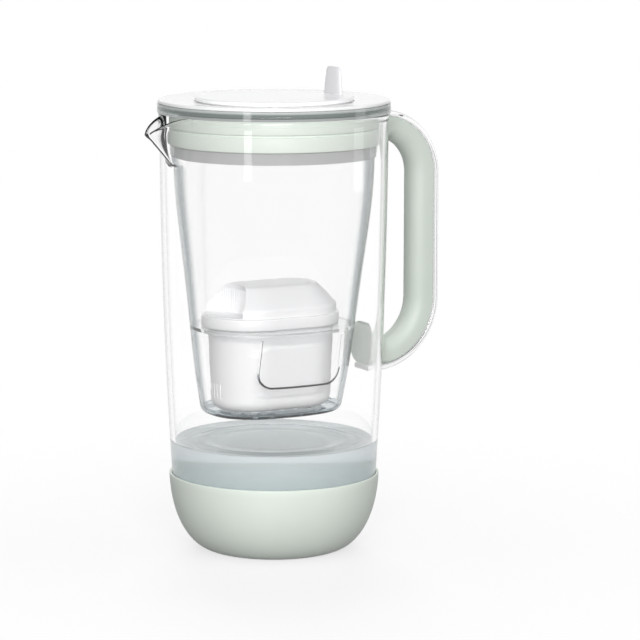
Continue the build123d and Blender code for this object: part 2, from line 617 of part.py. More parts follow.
def make_upper_screen():
    """Screen on the step in the cup's mouth, under the cap."""
    return in_mouth(-MOUTH_STEP, LEDGE_TOP + STEP_RISE, CAP_BOTTOM)


def make_lower_screen():
    """Screen on the cup's floor."""
    low = CUP_BOTTOM + CUP_WALL
    return cup_solid(CUP_WALL + FILL_GAP, low, low + SCREEN_THICKNESS)


def make_filter_media():
    """Bed of granules on the lower screen, with headroom above it."""
    low = CUP_BOTTOM + CUP_WALL + SCREEN_THICKNESS
    return cup_solid(CUP_WALL + FILL_GAP, low, LEDGE_TOP - MEDIA_HEADROOM)


# ------------------------------------------------------------- lid and flap
def hinge_ear(side):
    """One of the two ears under the lid that hold the pin. Side is -1 or 1."""
    across = sorted((side * KNUCKLE_HALF, side * (KNUCKLE_HALF + EAR_THICKNESS)))
    along = HINGE_X - KNUCKLE_RADIUS, KNUCKLE_BACK + EAR_BACK
    return block(along, across, (HINGE_Z - KNUCKLE_RADIUS, FLANGE_TOP + LID_THICKNESS / 2))


def make_lid_cover():
    """Lid ring with a sunken seat for the flap, a skirt and the hinge's ears."""
    plate = ring(REBATE_RADIUS, FLANGE_RADIUS - LID_EDGE_GAP, FLANGE_TOP, LID_TOP)
    plate = fillet(plate.edges().group_by(Axis.Z)[-1].sort_by(SortBy.RADIUS)[-1], LID_ROUND)
    seat = ring(OPENING_RADIUS, REBATE_RADIUS + LID_THICKNESS, SEAT_UNDER, FLAP_SEAT)
    riser = ring(REBATE_RADIUS, REBATE_RADIUS + LID_THICKNESS, SEAT_UNDER, LID_TOP)
    skirt = ring(SKIRT_RADIUS - SKIRT_WALL, SKIRT_RADIUS, FLANGE_TOP - SKIRT_DEPTH, FLANGE_TOP)
    lid = plate + seat + riser + skirt
    arm_room = (OPENING_RADIUS - 2 * PAST, KNUCKLE_BACK)
    lid -= block(arm_room, (-KNUCKLE_HALF, KNUCKLE_HALF), (SEAT_UNDER - PAST, LID_TOP + PAST))
    lid += hinge_ear(-1) + hinge_ear(1)
    return lid - hinge_rod(HINGE_PIN_RADIUS, 2 * (KNUCKLE_HALF + EAR_THICKNESS))


def make_hinge_pin():
    """Plain pin, as long as the hinge is wide over its ears."""
    return hinge_rod(HINGE_PIN_RADIUS, 2 * (KNUCKLE_HALF + EAR_THICKNESS))


def tab_slot():
    """The hole in the flap that the tab stands in."""
    half_thick, half_wide = TAB_THICKNESS / 2 + TAB_GAP, TAB_WIDTH / 2 + TAB_GAP
    along = TAB_MIDDLE - half_thick, TAB_MIDDLE + half_thick
    return block(along, (-half_wide, half_wide), (FLAP_SEAT - PAST, FLAP_TOP + PAST))


def make_flip_flap():
    """Raised round flap with a plug ring under it, cut away for the lever's arm."""
    cover = disc(FLAP_RADIUS, FLAP_SEAT, FLAP_TOP)
    cover = fillet(cover.edges().group_by(Axis.Z)[-1], FLAP_ROUND)
    cover = chamfer(cover.edges().group_by(Axis.Z)[0], FLAP_RELIEF)
    skin_under = FLAP_TOP - FLAP_SKIN
    cover -= disc(PLUG_RADIUS - PLUG_WALL, FLAP_SEAT, skin_under)
    plug_foot = FLAP_SEAT - PLUG_DEPTH
    plug = ring(PLUG_RADIUS - PLUG_WALL, PLUG_RADIUS, plug_foot, FLAP_SEAT)
    front = TAB_MIDDLE - FOOT_FRONT - PAST
    arm_way = block((front, HINGE_X), (-KNUCKLE_HALF, KNUCKLE_HALF), (plug_foot - PAST, skin_under))
    return cover + plug - arm_way - tab_slot()


def make_thumb_lever():
    """Upright thumb tab with a foot under the flap and an arm back to the hinge."""
    seat = FLAP_TOP - FLAP_SKIN
    across = -KNUCKLE_WIDTH / 2, KNUCKLE_WIDTH / 2
    base = Pos(TAB_MIDDLE, 0, seat) * Rectangle(TAB_THICKNESS, TAB_WIDTH)
    top = Pos(TAB_MIDDLE + TAB_LEAN, 0, FLAP_TOP + TAB_HEIGHT)
    tab = loft([base, top * Rectangle(TAB_TOP_THICKNESS, TAB_TOP_WIDTH)])
    tab = fillet(tab.edges().group_by(Axis.Z)[-1].filter_by(Axis.X), TAB_ROUND)
    foot = block((TAB_MIDDLE - FOOT_FRONT, TAB_MIDDLE + FOOT_BACK), across, (HINGE_Z - FOOT_DROP, seat))
    arm = block((TAB_MIDDLE, HINGE_X), across, (HINGE_Z - ARM_DROP, HINGE_Z + ARM_RISE))
    knuckle = hinge_rod(KNUCKLE_RADIUS, KNUCKLE_WIDTH)
    return tab + foot + arm + knuckle - hinge_rod(HINGE_PIN_RADIUS + HINGE_GAP, KNUCKLE_WIDTH + 2 * PAST)


# ------------------------------------------------------------- write the pieces
PIECES = {
    "glass_jug": make_glass_jug,
    "glass_handle": make_glass_handle,
    "handle_grip": make_handle_grip,
    "base_boot": make_base_boot,
    "funnel_hopper": make_funnel_hopper,
    "neck_collar": make_neck_collar,
    "cartridge_cup": make_cartridge_cup,
    "cartridge_cap": make_cartridge_cap,
    "upper_screen": make_upper_screen,
    "filter_media": make_filter_media,
    "lower_screen": make_lower_screen,
    "lid_cover": make_lid_cover,
    "hinge_pin": make_hinge_pin,
    "flip_flap": make_flip_flap,
    "thumb_lever": make_thumb_lever,
}

os.makedirs("parts", exist_ok=True)
for name, make in PIECES.items():
    piece = make()
    export_step(piece, f"parts/{name}.step")
    print(name, "volume", round(piece.volume / 1000, 2), "cm3")
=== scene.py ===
# %% [markdown]
# # A glass water filter jug with a flip lid
# The real object is a blown glass jug in a soft mint boot, with a clear moulded funnel hanging in its
# neck. The CAD frame already holds every piece at its real size. This lesson dresses that frame: it
# models the smooth skins again as clean meshes, and it gives each one the finish that its maker would.
# Everything is worked out in millimetres and turned to metres at the moment a mesh is made.

from math import acos, copysign, cos, exp, hypot, pi, radians, sin, sqrt, tan

import bmesh
import bpy
from mathutils import Matrix, Vector


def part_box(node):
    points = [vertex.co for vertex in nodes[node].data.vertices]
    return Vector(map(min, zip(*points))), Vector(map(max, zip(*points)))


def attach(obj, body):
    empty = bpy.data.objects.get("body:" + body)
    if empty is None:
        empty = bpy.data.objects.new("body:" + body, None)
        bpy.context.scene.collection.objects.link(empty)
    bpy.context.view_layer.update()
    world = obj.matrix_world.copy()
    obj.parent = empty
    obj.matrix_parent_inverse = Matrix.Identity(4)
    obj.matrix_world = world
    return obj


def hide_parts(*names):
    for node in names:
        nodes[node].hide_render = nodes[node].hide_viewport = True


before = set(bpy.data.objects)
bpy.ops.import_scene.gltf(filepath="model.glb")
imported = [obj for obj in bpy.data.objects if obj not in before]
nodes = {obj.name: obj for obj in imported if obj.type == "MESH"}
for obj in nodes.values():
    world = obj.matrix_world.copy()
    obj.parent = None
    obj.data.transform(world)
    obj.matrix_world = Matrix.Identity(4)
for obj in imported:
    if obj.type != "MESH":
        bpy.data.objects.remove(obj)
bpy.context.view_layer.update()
MM = 0.001

# %% [markdown]
# ## The camera
# The photograph was taken from the front left, a little above the rim, with a long lens: the rim, the
# water line and the boot's edge are ellipses whose flatness gives the height of the eye. A long lens a
# long way off keeps upright edges nearly parallel, as product photographs do.

# %% Camera
VIEW_TURN = radians(-28.5)
VIEW_PITCH = radians(8.84)
VIEW_DISTANCE = 1.940
VIEW_HEIGHT = 0.441
FRAME_PIXELS = 640
FOCAL_PIXELS = 3250
AXIS_PIXEL = 274

scene = bpy.context.scene
camera_data = bpy.data.cameras.new("camera")
camera = bpy.data.objects.new("camera", camera_data)
scene.collection.objects.link(camera)
scene.camera = camera
ahead = Vector((-sin(VIEW_TURN), cos(VIEW_TURN), 0))
camera.location = -ahead * VIEW_DISTANCE + Vector((0, 0, VIEW_HEIGHT))
camera.rotation_euler = (pi / 2 - VIEW_PITCH, 0, VIEW_TURN)
camera_data.lens = camera_data.sensor_width * FOCAL_PIXELS / FRAME_PIXELS
camera_data.shift_x = (FRAME_PIXELS / 2 - AXIS_PIXEL) / FRAME_PIXELS
print("camera: lens", round(camera_data.lens, 1), "mm at", [round(v, 3) for v in camera.location])

# %% [markdown]
# ## Helpers for materials
# Colours are read as sRGB hex values, as a designer would note them, and Blender wants them linear.
# A material could be wired by hand in the Shader Editor. Here one function adds a node, sets its
# properties and feeds its sockets, whatever kind of node it is, so that every finish reads as a recipe.


# %% Material helpers
def linear(hex_colour):
    """sRGB hex to a linear RGBA tuple."""
    channels = [int(hex_colour[i : i + 2], 16) / 255 for i in (1, 3, 5)]
    return tuple(c / 12.92 if c <= 0.04045 else ((c + 0.055) / 1.055) ** 2.4 for c in channels) + (1.0,)


def add(tree, kind, sockets=None, stops=(), **settings):
    """Add one node. A socket's value may be a number, a colour or another node's output.

    A colour ramp takes its stops as (place, colour) pairs.
    """
    node = tree.nodes.new(kind)
    for name, value in settings.items():
        setattr(node, name, value)
    for name, value in (sockets or {}).items():
        if isinstance(value, bpy.types.NodeSocket):
            tree.links.new(value, node.inputs[name])
        else:
            node.inputs[name].default_value = value
    for place, colour in stops[2:]:
        node.color_ramp.elements.new(place)
    for element, (place, colour) in zip(node.color_ramp.elements if stops else (), stops):
        element.position, element.color = place, linear(colour)
    return node


def new_material(name):
    """An empty material with its node tree and its output node."""
    material = bpy.data.materials.new(name)
    material.use_nodes = True
    tree = material.node_tree
    tree.nodes.clear()
    print("material", name)
    return material, tree, add(tree, "ShaderNodeOutputMaterial")


# %% [markdown]
# ## Clear materials
# Glass is drawn with a Principled shader at full transmission. On a white ground real glass is seen by its
# edges, where the eye looks along the wall and through more of it, and where it shows the darker things
# round it. Here that edge is painted shade: a Layer Weight, which knows only the angle between the surface
# and the eye, darkens the tint there, and a faint absorption does the rest inside. A Light Path mix opens
# it for shadow rays and for rays that leave a matt surface, so that what stands in the jug is lit once,
# and straight.


# %% Clear materials
def clear_material(
    name, ior, tints, absorbed, density, waver=0.0, clear=1.0, roughness=0.0, shade_bands=(), shade_band_span=(0, 1)
):
    """Glass, clear plastic or water. tints run from the face (0) to the edge (1) of a curved wall, and
    their darker end is painted shade.

    waver is the height in mm of a slow ripple in the surface, and clear is the share of light that goes
    through. The rest comes back from the body, as it does from a cloudy one. The tints laid in steps up
    the piece between two heights in mm are painted shade: the dark lines that steps in a moulding show
    from the side, and the darker foot of the water.
    """
    material, tree, output = new_material(name)
    # Painted shade: the tint turns darker towards the edge, by the angle alone.
    weight = add(tree, "ShaderNodeLayerWeight", {"Blend": 0.5})
    colour = add(tree, "ShaderNodeValToRGB", {"Fac": weight.outputs["Facing"]}, tints).outputs["Color"]
    # Painted shade in steps up the piece, by height: each tint multiplies the tint by angle.
    if shade_bands:
        place = add(tree, "ShaderNodeTexCoord")
        height = add(tree, "ShaderNodeSeparateXYZ", {"Vector": place.outputs["Object"]})
        low, high = shade_band_span
        rise = add(
            tree,
            "ShaderNodeMapRange",
            {"Value": height.outputs["Z"], "From Min": low * MM, "From Max": high * MM},
        )
        band = add(tree, "ShaderNodeValToRGB", {"Fac": rise.outputs["Result"]}, shade_bands)
        both = add(tree, "ShaderNodeMix", {"Factor": 1.0}, data_type="RGBA", blend_type="MULTIPLY")
        tree.links.new(colour, both.inputs[6])
        tree.links.new(band.outputs["Color"], both.inputs[7])
        colour = both.outputs[2]
    shader = add(
        tree,
        "ShaderNodeBsdfPrincipled",
        {"Base Color": colour, "Roughness": roughness, "IOR": ior, "Transmission Weight": clear},
    )
    if waver:
        place = add(tree, "ShaderNodeTexCoord")
        ripple = add(
            tree, "ShaderNodeTexNoise", {"Vector": place.outputs["Object"], "Scale": 28.0, "Detail": 1.0}
        )
        bump = add(
            tree,
            "ShaderNodeBump",
            {"Height": ripple.outputs["Fac"], "Strength": 1.0, "Distance": waver * MM},
        )
        tree.links.new(bump.outputs["Normal"], shader.inputs["Normal"])
    path = add(tree, "ShaderNodeLightPath")
    lighting = add(
        tree,
        "ShaderNodeMath",
        {0: path.outputs["Is Shadow Ray"], 1: path.outputs["Is Diffuse Ray"]},
        operation="MAXIMUM",
    )
    open_way = add(tree, "ShaderNodeBsdfTransparent", {"Color": linear("#FCFCFC")})
    mix = add(
        tree,
        "ShaderNodeMixShader",
        {0: lighting.outputs["Value"], 1: shader.outputs["BSDF"], 2: open_way.outputs["BSDF"]},
    )
    inside = add(tree, "ShaderNodeVolumeAbsorption", {"Color": linear(absorbed), "Density": density})
    tree.links.new(mix.outputs["Shader"], output.inputs["Surface"])
    tree.links.new(inside.outputs["Volume"], output.inputs["Volume"])
    return material


# %% [markdown]
# ## Glass
# The jug is laboratory glass, and clear. A plain Glass shader would make it, but its edges would stay too
# bright on a white ground, so the tint by angle above is used, with white for the face and a grey for the
# last part of the turn: painted shade at the edges.

# %% Glass
# Borosilicate glass, blown in a mould: clear, with a slow waver in the wall and grey painted shade at its
# edges.
borosilicate_glass = clear_material(
    "borosilicate_glass", 1.47, [(0.76, "#FFFFFF"), (1.0, "#525C5A")], "#C6D2D0", 0.8, waver=0.015
)
# The strap is the same glass, pressed and not blown. It is thin, so the shade painted at its edges is only
# a light grey.
pressed_glass = clear_material(
    "pressed_glass", 1.47, [(0.6, "#FFFFFF"), (1.0, "#C2CAC8")], "#C6D2D0", 1.0
)
# Where the strap is fused on, its end is rough glass, which scatters the light and looks pale.
fused_glass = clear_material(
    "fused_glass", 1.47, [(0.0, "#FFFFFF"), (1.0, "#F6F8F7")], "#C6D2D0", 1.0, clear=0.25, roughness=0.4
)

# %% [markdown]
# ## Clear plastic
# The funnel is one moulding, but a thick flange, a thin wall and a satin shoulder of the same plastic
# look quite different. They could be one material with masks. Six plain finishes are easier to follow,
# and each face of the funnel gets one of them further down.

# %% Copolyester
# Copolyester, injection moulded and polished: higher in index, and painted dark where the eye looks along
# it, as shade.
clear_copolyester = clear_material(
    "clear_copolyester", 1.54, [(0.55, "#FFFFFF"), (0.68, "#7E898D"), (1.0, "#252B2E")], "#9DADB5", 3.0
)
# A level plate of it, such as the ledge, is looked at from one side only and stays light.
level_copolyester = clear_material(
    "level_copolyester", 1.54, [(0.0, "#FFFFFF"), (1.0, "#F4F7F7")], "#9DADB5", 1.0
)
# The funnel's floor is the thickest plate. Its blue-grey tint is painted shade, for the water seen under
# it, and it is painted darker towards its edges.
floor_copolyester = clear_material(
    "floor_copolyester", 1.54, [(0.0, "#D6DEE1"), (1.0, "#B3BEC3")], "#8FA0A8", 9.0
)

# %% Copolyester flange and details
# The same plastic in the thick flange turns light round inside itself. Its edge has fine steps, and the
# dark lines that they show are painted shade and painted reflection: tints that go up from the glass rim
# to the flange's top. Its grey edge tint is painted shade as well.
FLANGE_SPAN = (265.5, 271.2)
thick_copolyester = clear_material(
    "thick_copolyester",
    1.54,
    [(0.0, "#F2F5F4"), (0.5, "#E6ECEA"), (1.0, "#B9C2BF")],
    "#9FA8A5",
    4.0,
    clear=0.62,
    shade_bands=[
        (0.0, "#DCE0DE"),
        (0.08, "#FFFFFF"),
        (0.24, "#FFFFFF"),
        (0.29, "#868F8B"),
        (0.36, "#A9B1AE"),
        (0.66, "#A0A8A5"),
        (0.76, "#DCE1DF"),
        (0.86, "#FFFFFF"),
    ],
    shade_band_span=FLANGE_SPAN,
)
# The shoulder under the collar is left with the tool's fine satin, and grey painted shade towards its
# edges makes it read as a grey band.
satin_copolyester = clear_material(
    "satin_copolyester",
    1.54,
    [(0.0, "#FFFFFF"), (0.35, "#FFFFFF"), (0.75, "#B4B9B8"), (1.0, "#7D8382")],
    "#A9AFAE",
    3.0,
    clear=0.6,
    roughness=0.10,
)
# The raised line on the funnel's side is narrow and steep, and is painted almost black: a dark tint and a
# dense dark absorption stand in for the shade that its steep faces show.
ridge_painted_shade = clear_material(
    "ridge_painted_shade", 1.54, [(0.2, "#E8EAEB"), (0.45, "#5A5F62"), (1.0, "#202426")], "#5D666A", 120.0
)

# %% [markdown]
# ## Water
# Clear water in a glass on a white ground would hardly show. In this jug it looks blue-grey, because the
# light that reaches the eye has come down through the funnel and back up from the boot. That look is
# painted: a blue-grey tint, darker at the edges, is painted shade, and painted shade also makes it a
# little darker at the foot than at the surface.

# %% Still water
# Still water with some air in it: lower in index than glass, and a little cloudy.
# The heights in mm over which the water's painted shade lightens from its foot up to its surface.
WATER_SHADE_SPAN = (47.0, 66.0)
still_water = clear_material(
    "still_water",
    1.333,
    [(0.70, "#EEF3F4"), (0.86, "#B4C0C4"), (1.0, "#93A1A6")],
    "#B9C7CB",
    1.5,
    clear=0.6,
    shade_bands=[(0.0, "#D6DCDE"), (0.55, "#F4F6F7"), (0.9, "#FFFFFF")],
    shade_band_span=WATER_SHADE_SPAN,
)

# %% [markdown]
# ## Opaque materials
# A moulded piece is never one flat colour: it drifts between two close shades, and the tool leaves a
# fine relief on it. Painted textures could carry that. Noise in the material does it at any distance,
# and stays on the piece because it reads the piece's own coordinates.


# %% Opaque materials
def fine_bump(tree, scale, height, detail=2.0, roughness=0.5):
    """Fine relief. scale is in grains per metre, so 2600 is a grain of 0.4 mm. height is in mm."""
    place = add(tree, "ShaderNodeTexCoord")
    noise = add(
        tree,
        "ShaderNodeTexNoise",
        {"Vector": place.outputs["Object"], "Scale": scale, "Detail": detail, "Roughness": roughness},
    )
    bump = add(
        tree, "ShaderNodeBump", {"Height": noise.outputs["Fac"], "Strength": 1.0, "Distance": height * MM}
    )
    return noise.outputs["Fac"], bump.outputs["Normal"]


def moulded_material(name, light, dark, roughness, bump_scale, bump_height, **values):
    """Moulded plastic or rubber. Its colour drifts between two close shades over some centimetres."""
    material, tree, output = new_material(name)
    fac, normal = fine_bump(tree, bump_scale, bump_height)
    place = add(tree, "ShaderNodeTexCoord")
    drift = add(tree, "ShaderNodeTexNoise", {"Vector": place.outputs["Object"], "Scale": 30.0})
    shades = add(
        tree, "ShaderNodeValToRGB", {"Fac": drift.outputs["Fac"]}, [(0.3, dark), (0.7, light)]
    )
    rough = add(
        tree,
        "ShaderNodeMapRange",
        {"Value": fac, "To Min": roughness * 0.9, "To Max": roughness * 1.1},
    )
    shader = add(
        tree,
        "ShaderNodeBsdfPrincipled",
        {
            "Base Color": shades.outputs["Color"],
            "Roughness": rough.outputs["Result"],
            "Normal": normal,
        },
    )
    for socket, value in values.items():
        shader.inputs[socket.replace("_", " ")].default_value = value
    tree.links.new(shader.outputs["BSDF"], output.inputs["Surface"])
    return material


# %% [markdown]
# ## Moulded finishes
# Silicone is matt with a soft bloom at grazing angles, so it gets sheen and a fine texture. Moulded ABS
# is glossy with the faintest orange peel, under a thin coat. Polypropylene lies between the two: satin
# and a little waxy.

# %% Moulded finishes
# Silicone rubber, compression moulded in a bead-blasted tool: matt, with a pale bloom at its edges.
mint_silicone = moulded_material(
    "mint_silicone", "#DFE7DE", "#DBE3DA", 0.55, 2600, 0.012, Sheen_Weight=0.12, Sheen_Roughness=0.5
)
# The grip is the same silicone, with a colour a shade darker that is painted shade.
grip_silicone_painted_shade = moulded_material(
    "grip_silicone_painted_shade", "#CCD4CC", "#C8D1C8", 0.5, 2600, 0.012, Sheen_Weight=0.08, Sheen_Roughness=0.5
)
# ABS, injection moulded in a polished tool: glossy, with a faint orange peel.
white_abs = moulded_material(
    "white_abs", "#F8F8F8", "#F6F6F7", 0.16, 350, 0.006, Coat_Weight=0.25, Coat_Roughness=0.05
)
# Polypropylene, injection moulded: satin and a little waxy.
white_polypropylene = moulded_material(
    "white_polypropylene", "#FAFAFB", "#F8F8F9", 0.38, 1800, 0.008, Sheen_Weight=0.05
)
# The lever is coloured a shade greyer than the cartridge's polypropylene.
lever_polypropylene = moulded_material(
    "lever_polypropylene", "#E3E3E5", "#E0E0E2", 0.34, 1800, 0.006, Coat_Weight=0.1
)

# %% [markdown]
# ## Inside the cartridge, and the pin
# The screens are woven from fine thread, the bed is a mix of black and amber grains, and the pin is
# drawn wire. They could be modelled thread by thread and grain by grain, which is far too much for
# pieces that hardly show. Two crossed waves, a cell pattern and stretched noise give the same look.

# %% Woven screen
WAVES_PER_UNIT = 20 / (2 * pi)
THREAD_SPACING = 2.378
THREAD_THICKNESS = 0.2


def woven_screen():
    """Polyester screen. Its thread is 0.2 mm thick, and is drawn 2.4 mm apart so that the weave shows."""
    material, tree, output = new_material("polyester_screen")
    place = add(tree, "ShaderNodeTexCoord")
    waves = [
        add(
            tree,
            "ShaderNodeTexWave",
            {"Vector": place.outputs["Object"], "Scale": 1 / (THREAD_SPACING * MM * WAVES_PER_UNIT)},
            bands_direction=direction,
        ).outputs["Fac"]
        for direction in ("X", "Y")
    ]
    weave = add(tree, "ShaderNodeMath", {0: waves[0], 1: waves[1]}, operation="MAXIMUM").outputs["Value"]
    shades = add(tree, "ShaderNodeValToRGB", {"Fac": weave}, [(0.3, "#8F918F"), (0.8, "#E8E8E4")])
    bump = add(tree, "ShaderNodeBump", {"Height": weave, "Distance": THREAD_THICKNESS * MM})
    shader = add(
        tree,
        "ShaderNodeBsdfPrincipled",
        {"Base Color": shades.outputs["Color"], "Roughness": 0.7, "Normal": bump.outputs["Normal"]},
    )
    tree.links.new(shader.outputs["BSDF"], output.inputs["Surface"])
    return material


polyester_screen = woven_screen()

# %% Granules
GRANULE_SIZE = 1.0


def granule_bed():
    """Carbon granules and resin beads, mixed."""
    material, tree, output = new_material("carbon_and_resin")
    place = add(tree, "ShaderNodeTexCoord")
    cells = add(
        tree,
        "ShaderNodeTexVoronoi",
        {"Vector": place.outputs["Object"], "Scale": 1 / (GRANULE_SIZE * MM)},
    )
    tone = add(tree, "ShaderNodeSeparateColor", {"Color": cells.outputs["Color"]})
    shades = add(
        tree, "ShaderNodeValToRGB", {"Fac": tone.outputs["Red"]}, [(0.45, "#2B2A29"), (0.55, "#B58B4E")]
    )
    bump = add(
        tree,
        "ShaderNodeBump",
        {"Height": cells.outputs["Distance"], "Distance": GRANULE_SIZE / 2 * MM},
        invert=True,
    )
    shader = add(
        tree,
        "ShaderNodeBsdfPrincipled",
        {"Base Color": shades.outputs["Color"], "Roughness": 0.6, "Normal": bump.outputs["Normal"]},
    )
    tree.links.new(shader.outputs["BSDF"], output.inputs["Surface"])
    return material


carbon_and_resin = granule_bed()

# %% Drawn steel
DRAWN_LINES = (6000, 60, 6000)


def drawn_steel():
    """Stainless wire, drawn: fine lines along the pin, which lies along Y, 6 to the millimetre."""
    material, tree, output = new_material("drawn_stainless_steel")
    place = add(tree, "ShaderNodeTexCoord")
    along = add(tree, "ShaderNodeMapping", {"Vector": place.outputs["Object"], "Scale": DRAWN_LINES})
    lines = add(tree, "ShaderNodeTexNoise", {"Vector": along.outputs["Vector"], "Scale": 1.0})
    rough = add(
        tree, "ShaderNodeMapRange", {"Value": lines.outputs["Fac"], "To Min": 0.2, "To Max": 0.4}
    )
    shader = add(
        tree,
        "ShaderNodeBsdfPrincipled",
        {"Base Color": linear("#C9CACB"), "Metallic": 1.0, "Roughness": rough.outputs["Result"]},
    )
    tree.links.new(shader.outputs["BSDF"], output.inputs["Surface"])
    return material


drawn_stainless_steel = drawn_steel()

# %% [markdown]
# ## Helpers for meshes
# Nearly every skin here is a stack of rings round an axis: a turned piece has round rings, the
# cartridge has rings with two straight sides, and the grip has rings that follow a bent line. They
# could be lathed with a Screw modifier or lofted from curves. Rings in code keep every point in reach,
# so one function joins a stack of them into a closed mesh. A ring of one point is a pole, and a stack
# may also close on itself, as a tyre does.


# %% Finishing a piece
def finished(name, mesh, body, replaced, slot_name, *materials, sharp=40):
    """Make the object, shade it, hang it on the body that it rides on, and hide the frame's pieces that it
    stands for.

    Edges that turn by more than sharp degrees stay crisp. With None the mesh keeps its own normals.
    """
    thing = bpy.data.objects.new(name, mesh)
    scene.collection.objects.link(thing)
    mesh.materials.clear()
    for material in materials:
        mesh.materials.append(material)
    if sharp is not None:
        mesh.shade_smooth()
        mesh.set_sharp_from_angle(angle=radians(sharp))
    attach(thing, body)
    if replaced:
        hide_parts(*replaced)
    spans = [round(side / MM, 1) for side in thing.dimensions]
    print(name, len(mesh.polygons), "faces,", spans, "mm")
    return thing


# %% Rings into a mesh
def stacked(name, rings, closed=False):
    """Join rings of points, in mm, into one mesh with its faces pointing outwards."""
    points, starts = [], []
    for ring in rings:
        starts.append(len(points))
        points.extend(ring)
    faces = []
    pairs = list(zip(range(len(rings)), range(1, len(rings))))
    if closed:
        pairs.append((len(rings) - 1, 0))
    for low, high in pairs:
        a, b = starts[low], starts[high]
        below, above = len(rings[low]), len(rings[high])
        for i in range(max(below, above)):
            j = (i + 1) % max(below, above)
            if below == 1:
                faces.append((a, b + j, b + i))
            elif above == 1:
                faces.append((a + i, a + j, b))
            else:
                faces.append((a + i, a + j, b + j, b + i))
    mesh = bpy.data.meshes.new(name)
    mesh.from_pydata([tuple(c * MM for c in p) for p in points], [], faces)
    build = bmesh.new()
    build.from_mesh(mesh)
    bmesh.ops.recalc_face_normals(build, faces=build.faces)
    build.to_mesh(mesh)
    build.free()
    return mesh


# %% Rounded outlines
def rounded(corners, steps=5):
    """A closed outline from (across, up, radius) corners, with an arc at each rounded one."""
    outline = []
    count = len(corners)
    for i, (x, z, radius) in enumerate(corners):
        here = Vector((x, z))
        before = (Vector(corners[i - 1][:2]) - here).normalized()
        after = (Vector(corners[(i + 1) % count][:2]) - here).normalized()
        if radius == 0:
            outline.append((x, z))
            continue
        half = acos(max(-1.0, min(1.0, before.dot(after)))) / 2
        reach = radius / tan(half)
        centre = here + (before + after).normalized() * (radius / sin(half))
        first, last = here + before * reach - centre, here + after * reach - centre
        turn = first.angle_signed(last)
        for step in range(steps + 1):
            spoke = first.copy()
            spoke.rotate(Matrix.Rotation(-turn * step / steps, 2))
            outline.append(tuple(centre + spoke))
    return outline


# %% Turned pieces
def circle(count):
    """The cosine and sine of even turns round a circle."""
    return [(cos(2 * pi * i / count), sin(2 * pi * i / count)) for i in range(count)]


def round_ring(radius, height, count):
    """One ring about the jug's axis, or its pole."""
    if radius == 0:
        return [(0, 0, height)]
    return [(radius * c, radius * s, height) for c, s in circle(count)]


def turned(name, outline, count=192, closed=True):
    """Turn an outline of (radius, height) points about the jug's axis."""
    return stacked(name, [round_ring(r, z, count) for r, z in outline], closed)


# %% [markdown]
# ## Sizes from the frame
# The frame's boxes give the heights and radii that the pieces share. They could be typed in again, but
# then a change in the frame would leave the skins behind. What a box can't tell, such as a wall's
# thickness, is a plain size here.

# %% Shared sizes
def top_of(node):
    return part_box(node)[1].z / MM


JUG_HEIGHT = top_of("glass_jug")
RIM_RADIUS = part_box("glass_jug")[1].y / MM
RIM_BULGE = 0.8
NECK_RADIUS = RIM_RADIUS - RIM_BULGE
GLASS_WALL = 3.0
BOOT_TOP = top_of("base_boot")
BOOT_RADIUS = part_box("base_boot")[1].y / MM
BOOT_LIP = 1.6
HEEL_RADIUS = BOOT_RADIUS - BOOT_LIP
BOOT_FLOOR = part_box("glass_jug")[0].z / MM
GLASS_FLOOR = BOOT_FLOOR + 5.0
PUNT_TOP = GLASS_FLOOR + 3.0
FOOT_RADIUS = 36.0
WALL_BELLY = 1.7
print("rim", round(RIM_RADIUS, 2), "mm at", round(JUG_HEIGHT, 2), "mm; boot to", round(BOOT_TOP, 2))


# %% The wall's taper and the heel's round
def wall_radius(height):
    """Outside radius of the glass wall: a straight taper that bows out a little."""
    share = (height - BOOT_TOP) / (JUG_HEIGHT - BOOT_TOP)
    straight = HEEL_RADIUS + (NECK_RADIUS - HEEL_RADIUS) * share
    return straight + 4 * WALL_BELLY * share * (1 - share)


def bezier(a, b, c, d, steps):
    """Points of a cubic curve, both ends included."""
    points = []
    for step in range(steps + 1):
        t = step / steps
        weights = (1 - t) ** 3, 3 * (1 - t) ** 2 * t, 3 * (1 - t) * t * t, t**3
        points.append(tuple(sum(w * p[i] for w, p in zip(weights, (a, b, c, d))) for i in range(2)))
    return points


# The share of the radius at which a cubic's handles make it a quarter of a circle.
QUARTER = 0.5523
HEEL_LEAN = 0.6


def heel(top_radius, top, foot_radius, foot, steps=24):
    """The round between the flat foot and the wall."""
    return bezier(
        (foot_radius, foot),
        (foot_radius + QUARTER * (top_radius - foot_radius), foot),
        (top_radius - HEEL_LEAN, top - QUARTER * (top - foot)),
        (top_radius, top),
        steps,
    )


# %% [markdown]
# ## The boot
# A soft cup, moulded by itself and pulled over the glass. It could be the glass's own foot, made
# thicker. One turned outline is plainer: the foot, the heel, a rounded lip, and back down inside. The
# inside stays a tenth of a millimetre off the glass, because two surfaces in the same place would
# flicker.

# %% Boot
TOUCH_GAP = 0.1
LIP_ROUND = 0.7
LIP_STEPS = 8


def boot_outline():
    outside = heel(BOOT_RADIUS, BOOT_TOP - LIP_ROUND, FOOT_RADIUS + 1, 0)
    inner_lip = HEEL_RADIUS + TOUCH_GAP
    middle, half = (BOOT_RADIUS + inner_lip) / 2, (BOOT_RADIUS - inner_lip) / 2
    turns = [pi * step / LIP_STEPS for step in range(1, LIP_STEPS)]
    lip = [(middle + half * cos(turn), BOOT_TOP - LIP_ROUND * (1 - sin(turn))) for turn in turns]
    inside = heel(inner_lip, BOOT_TOP - LIP_ROUND, FOOT_RADIUS + TOUCH_GAP, BOOT_FLOOR - TOUCH_GAP)
    return [(0, 0), *outside, *lip, *reversed(inside), (0, BOOT_FLOOR - TOUCH_GAP)]


boot_mesh = turned("boot_skin", boot_outline(), closed=False)
finished("boot_skin", boot_mesh, "jug", ["base_boot"], "mint_silicone", mint_silicone)

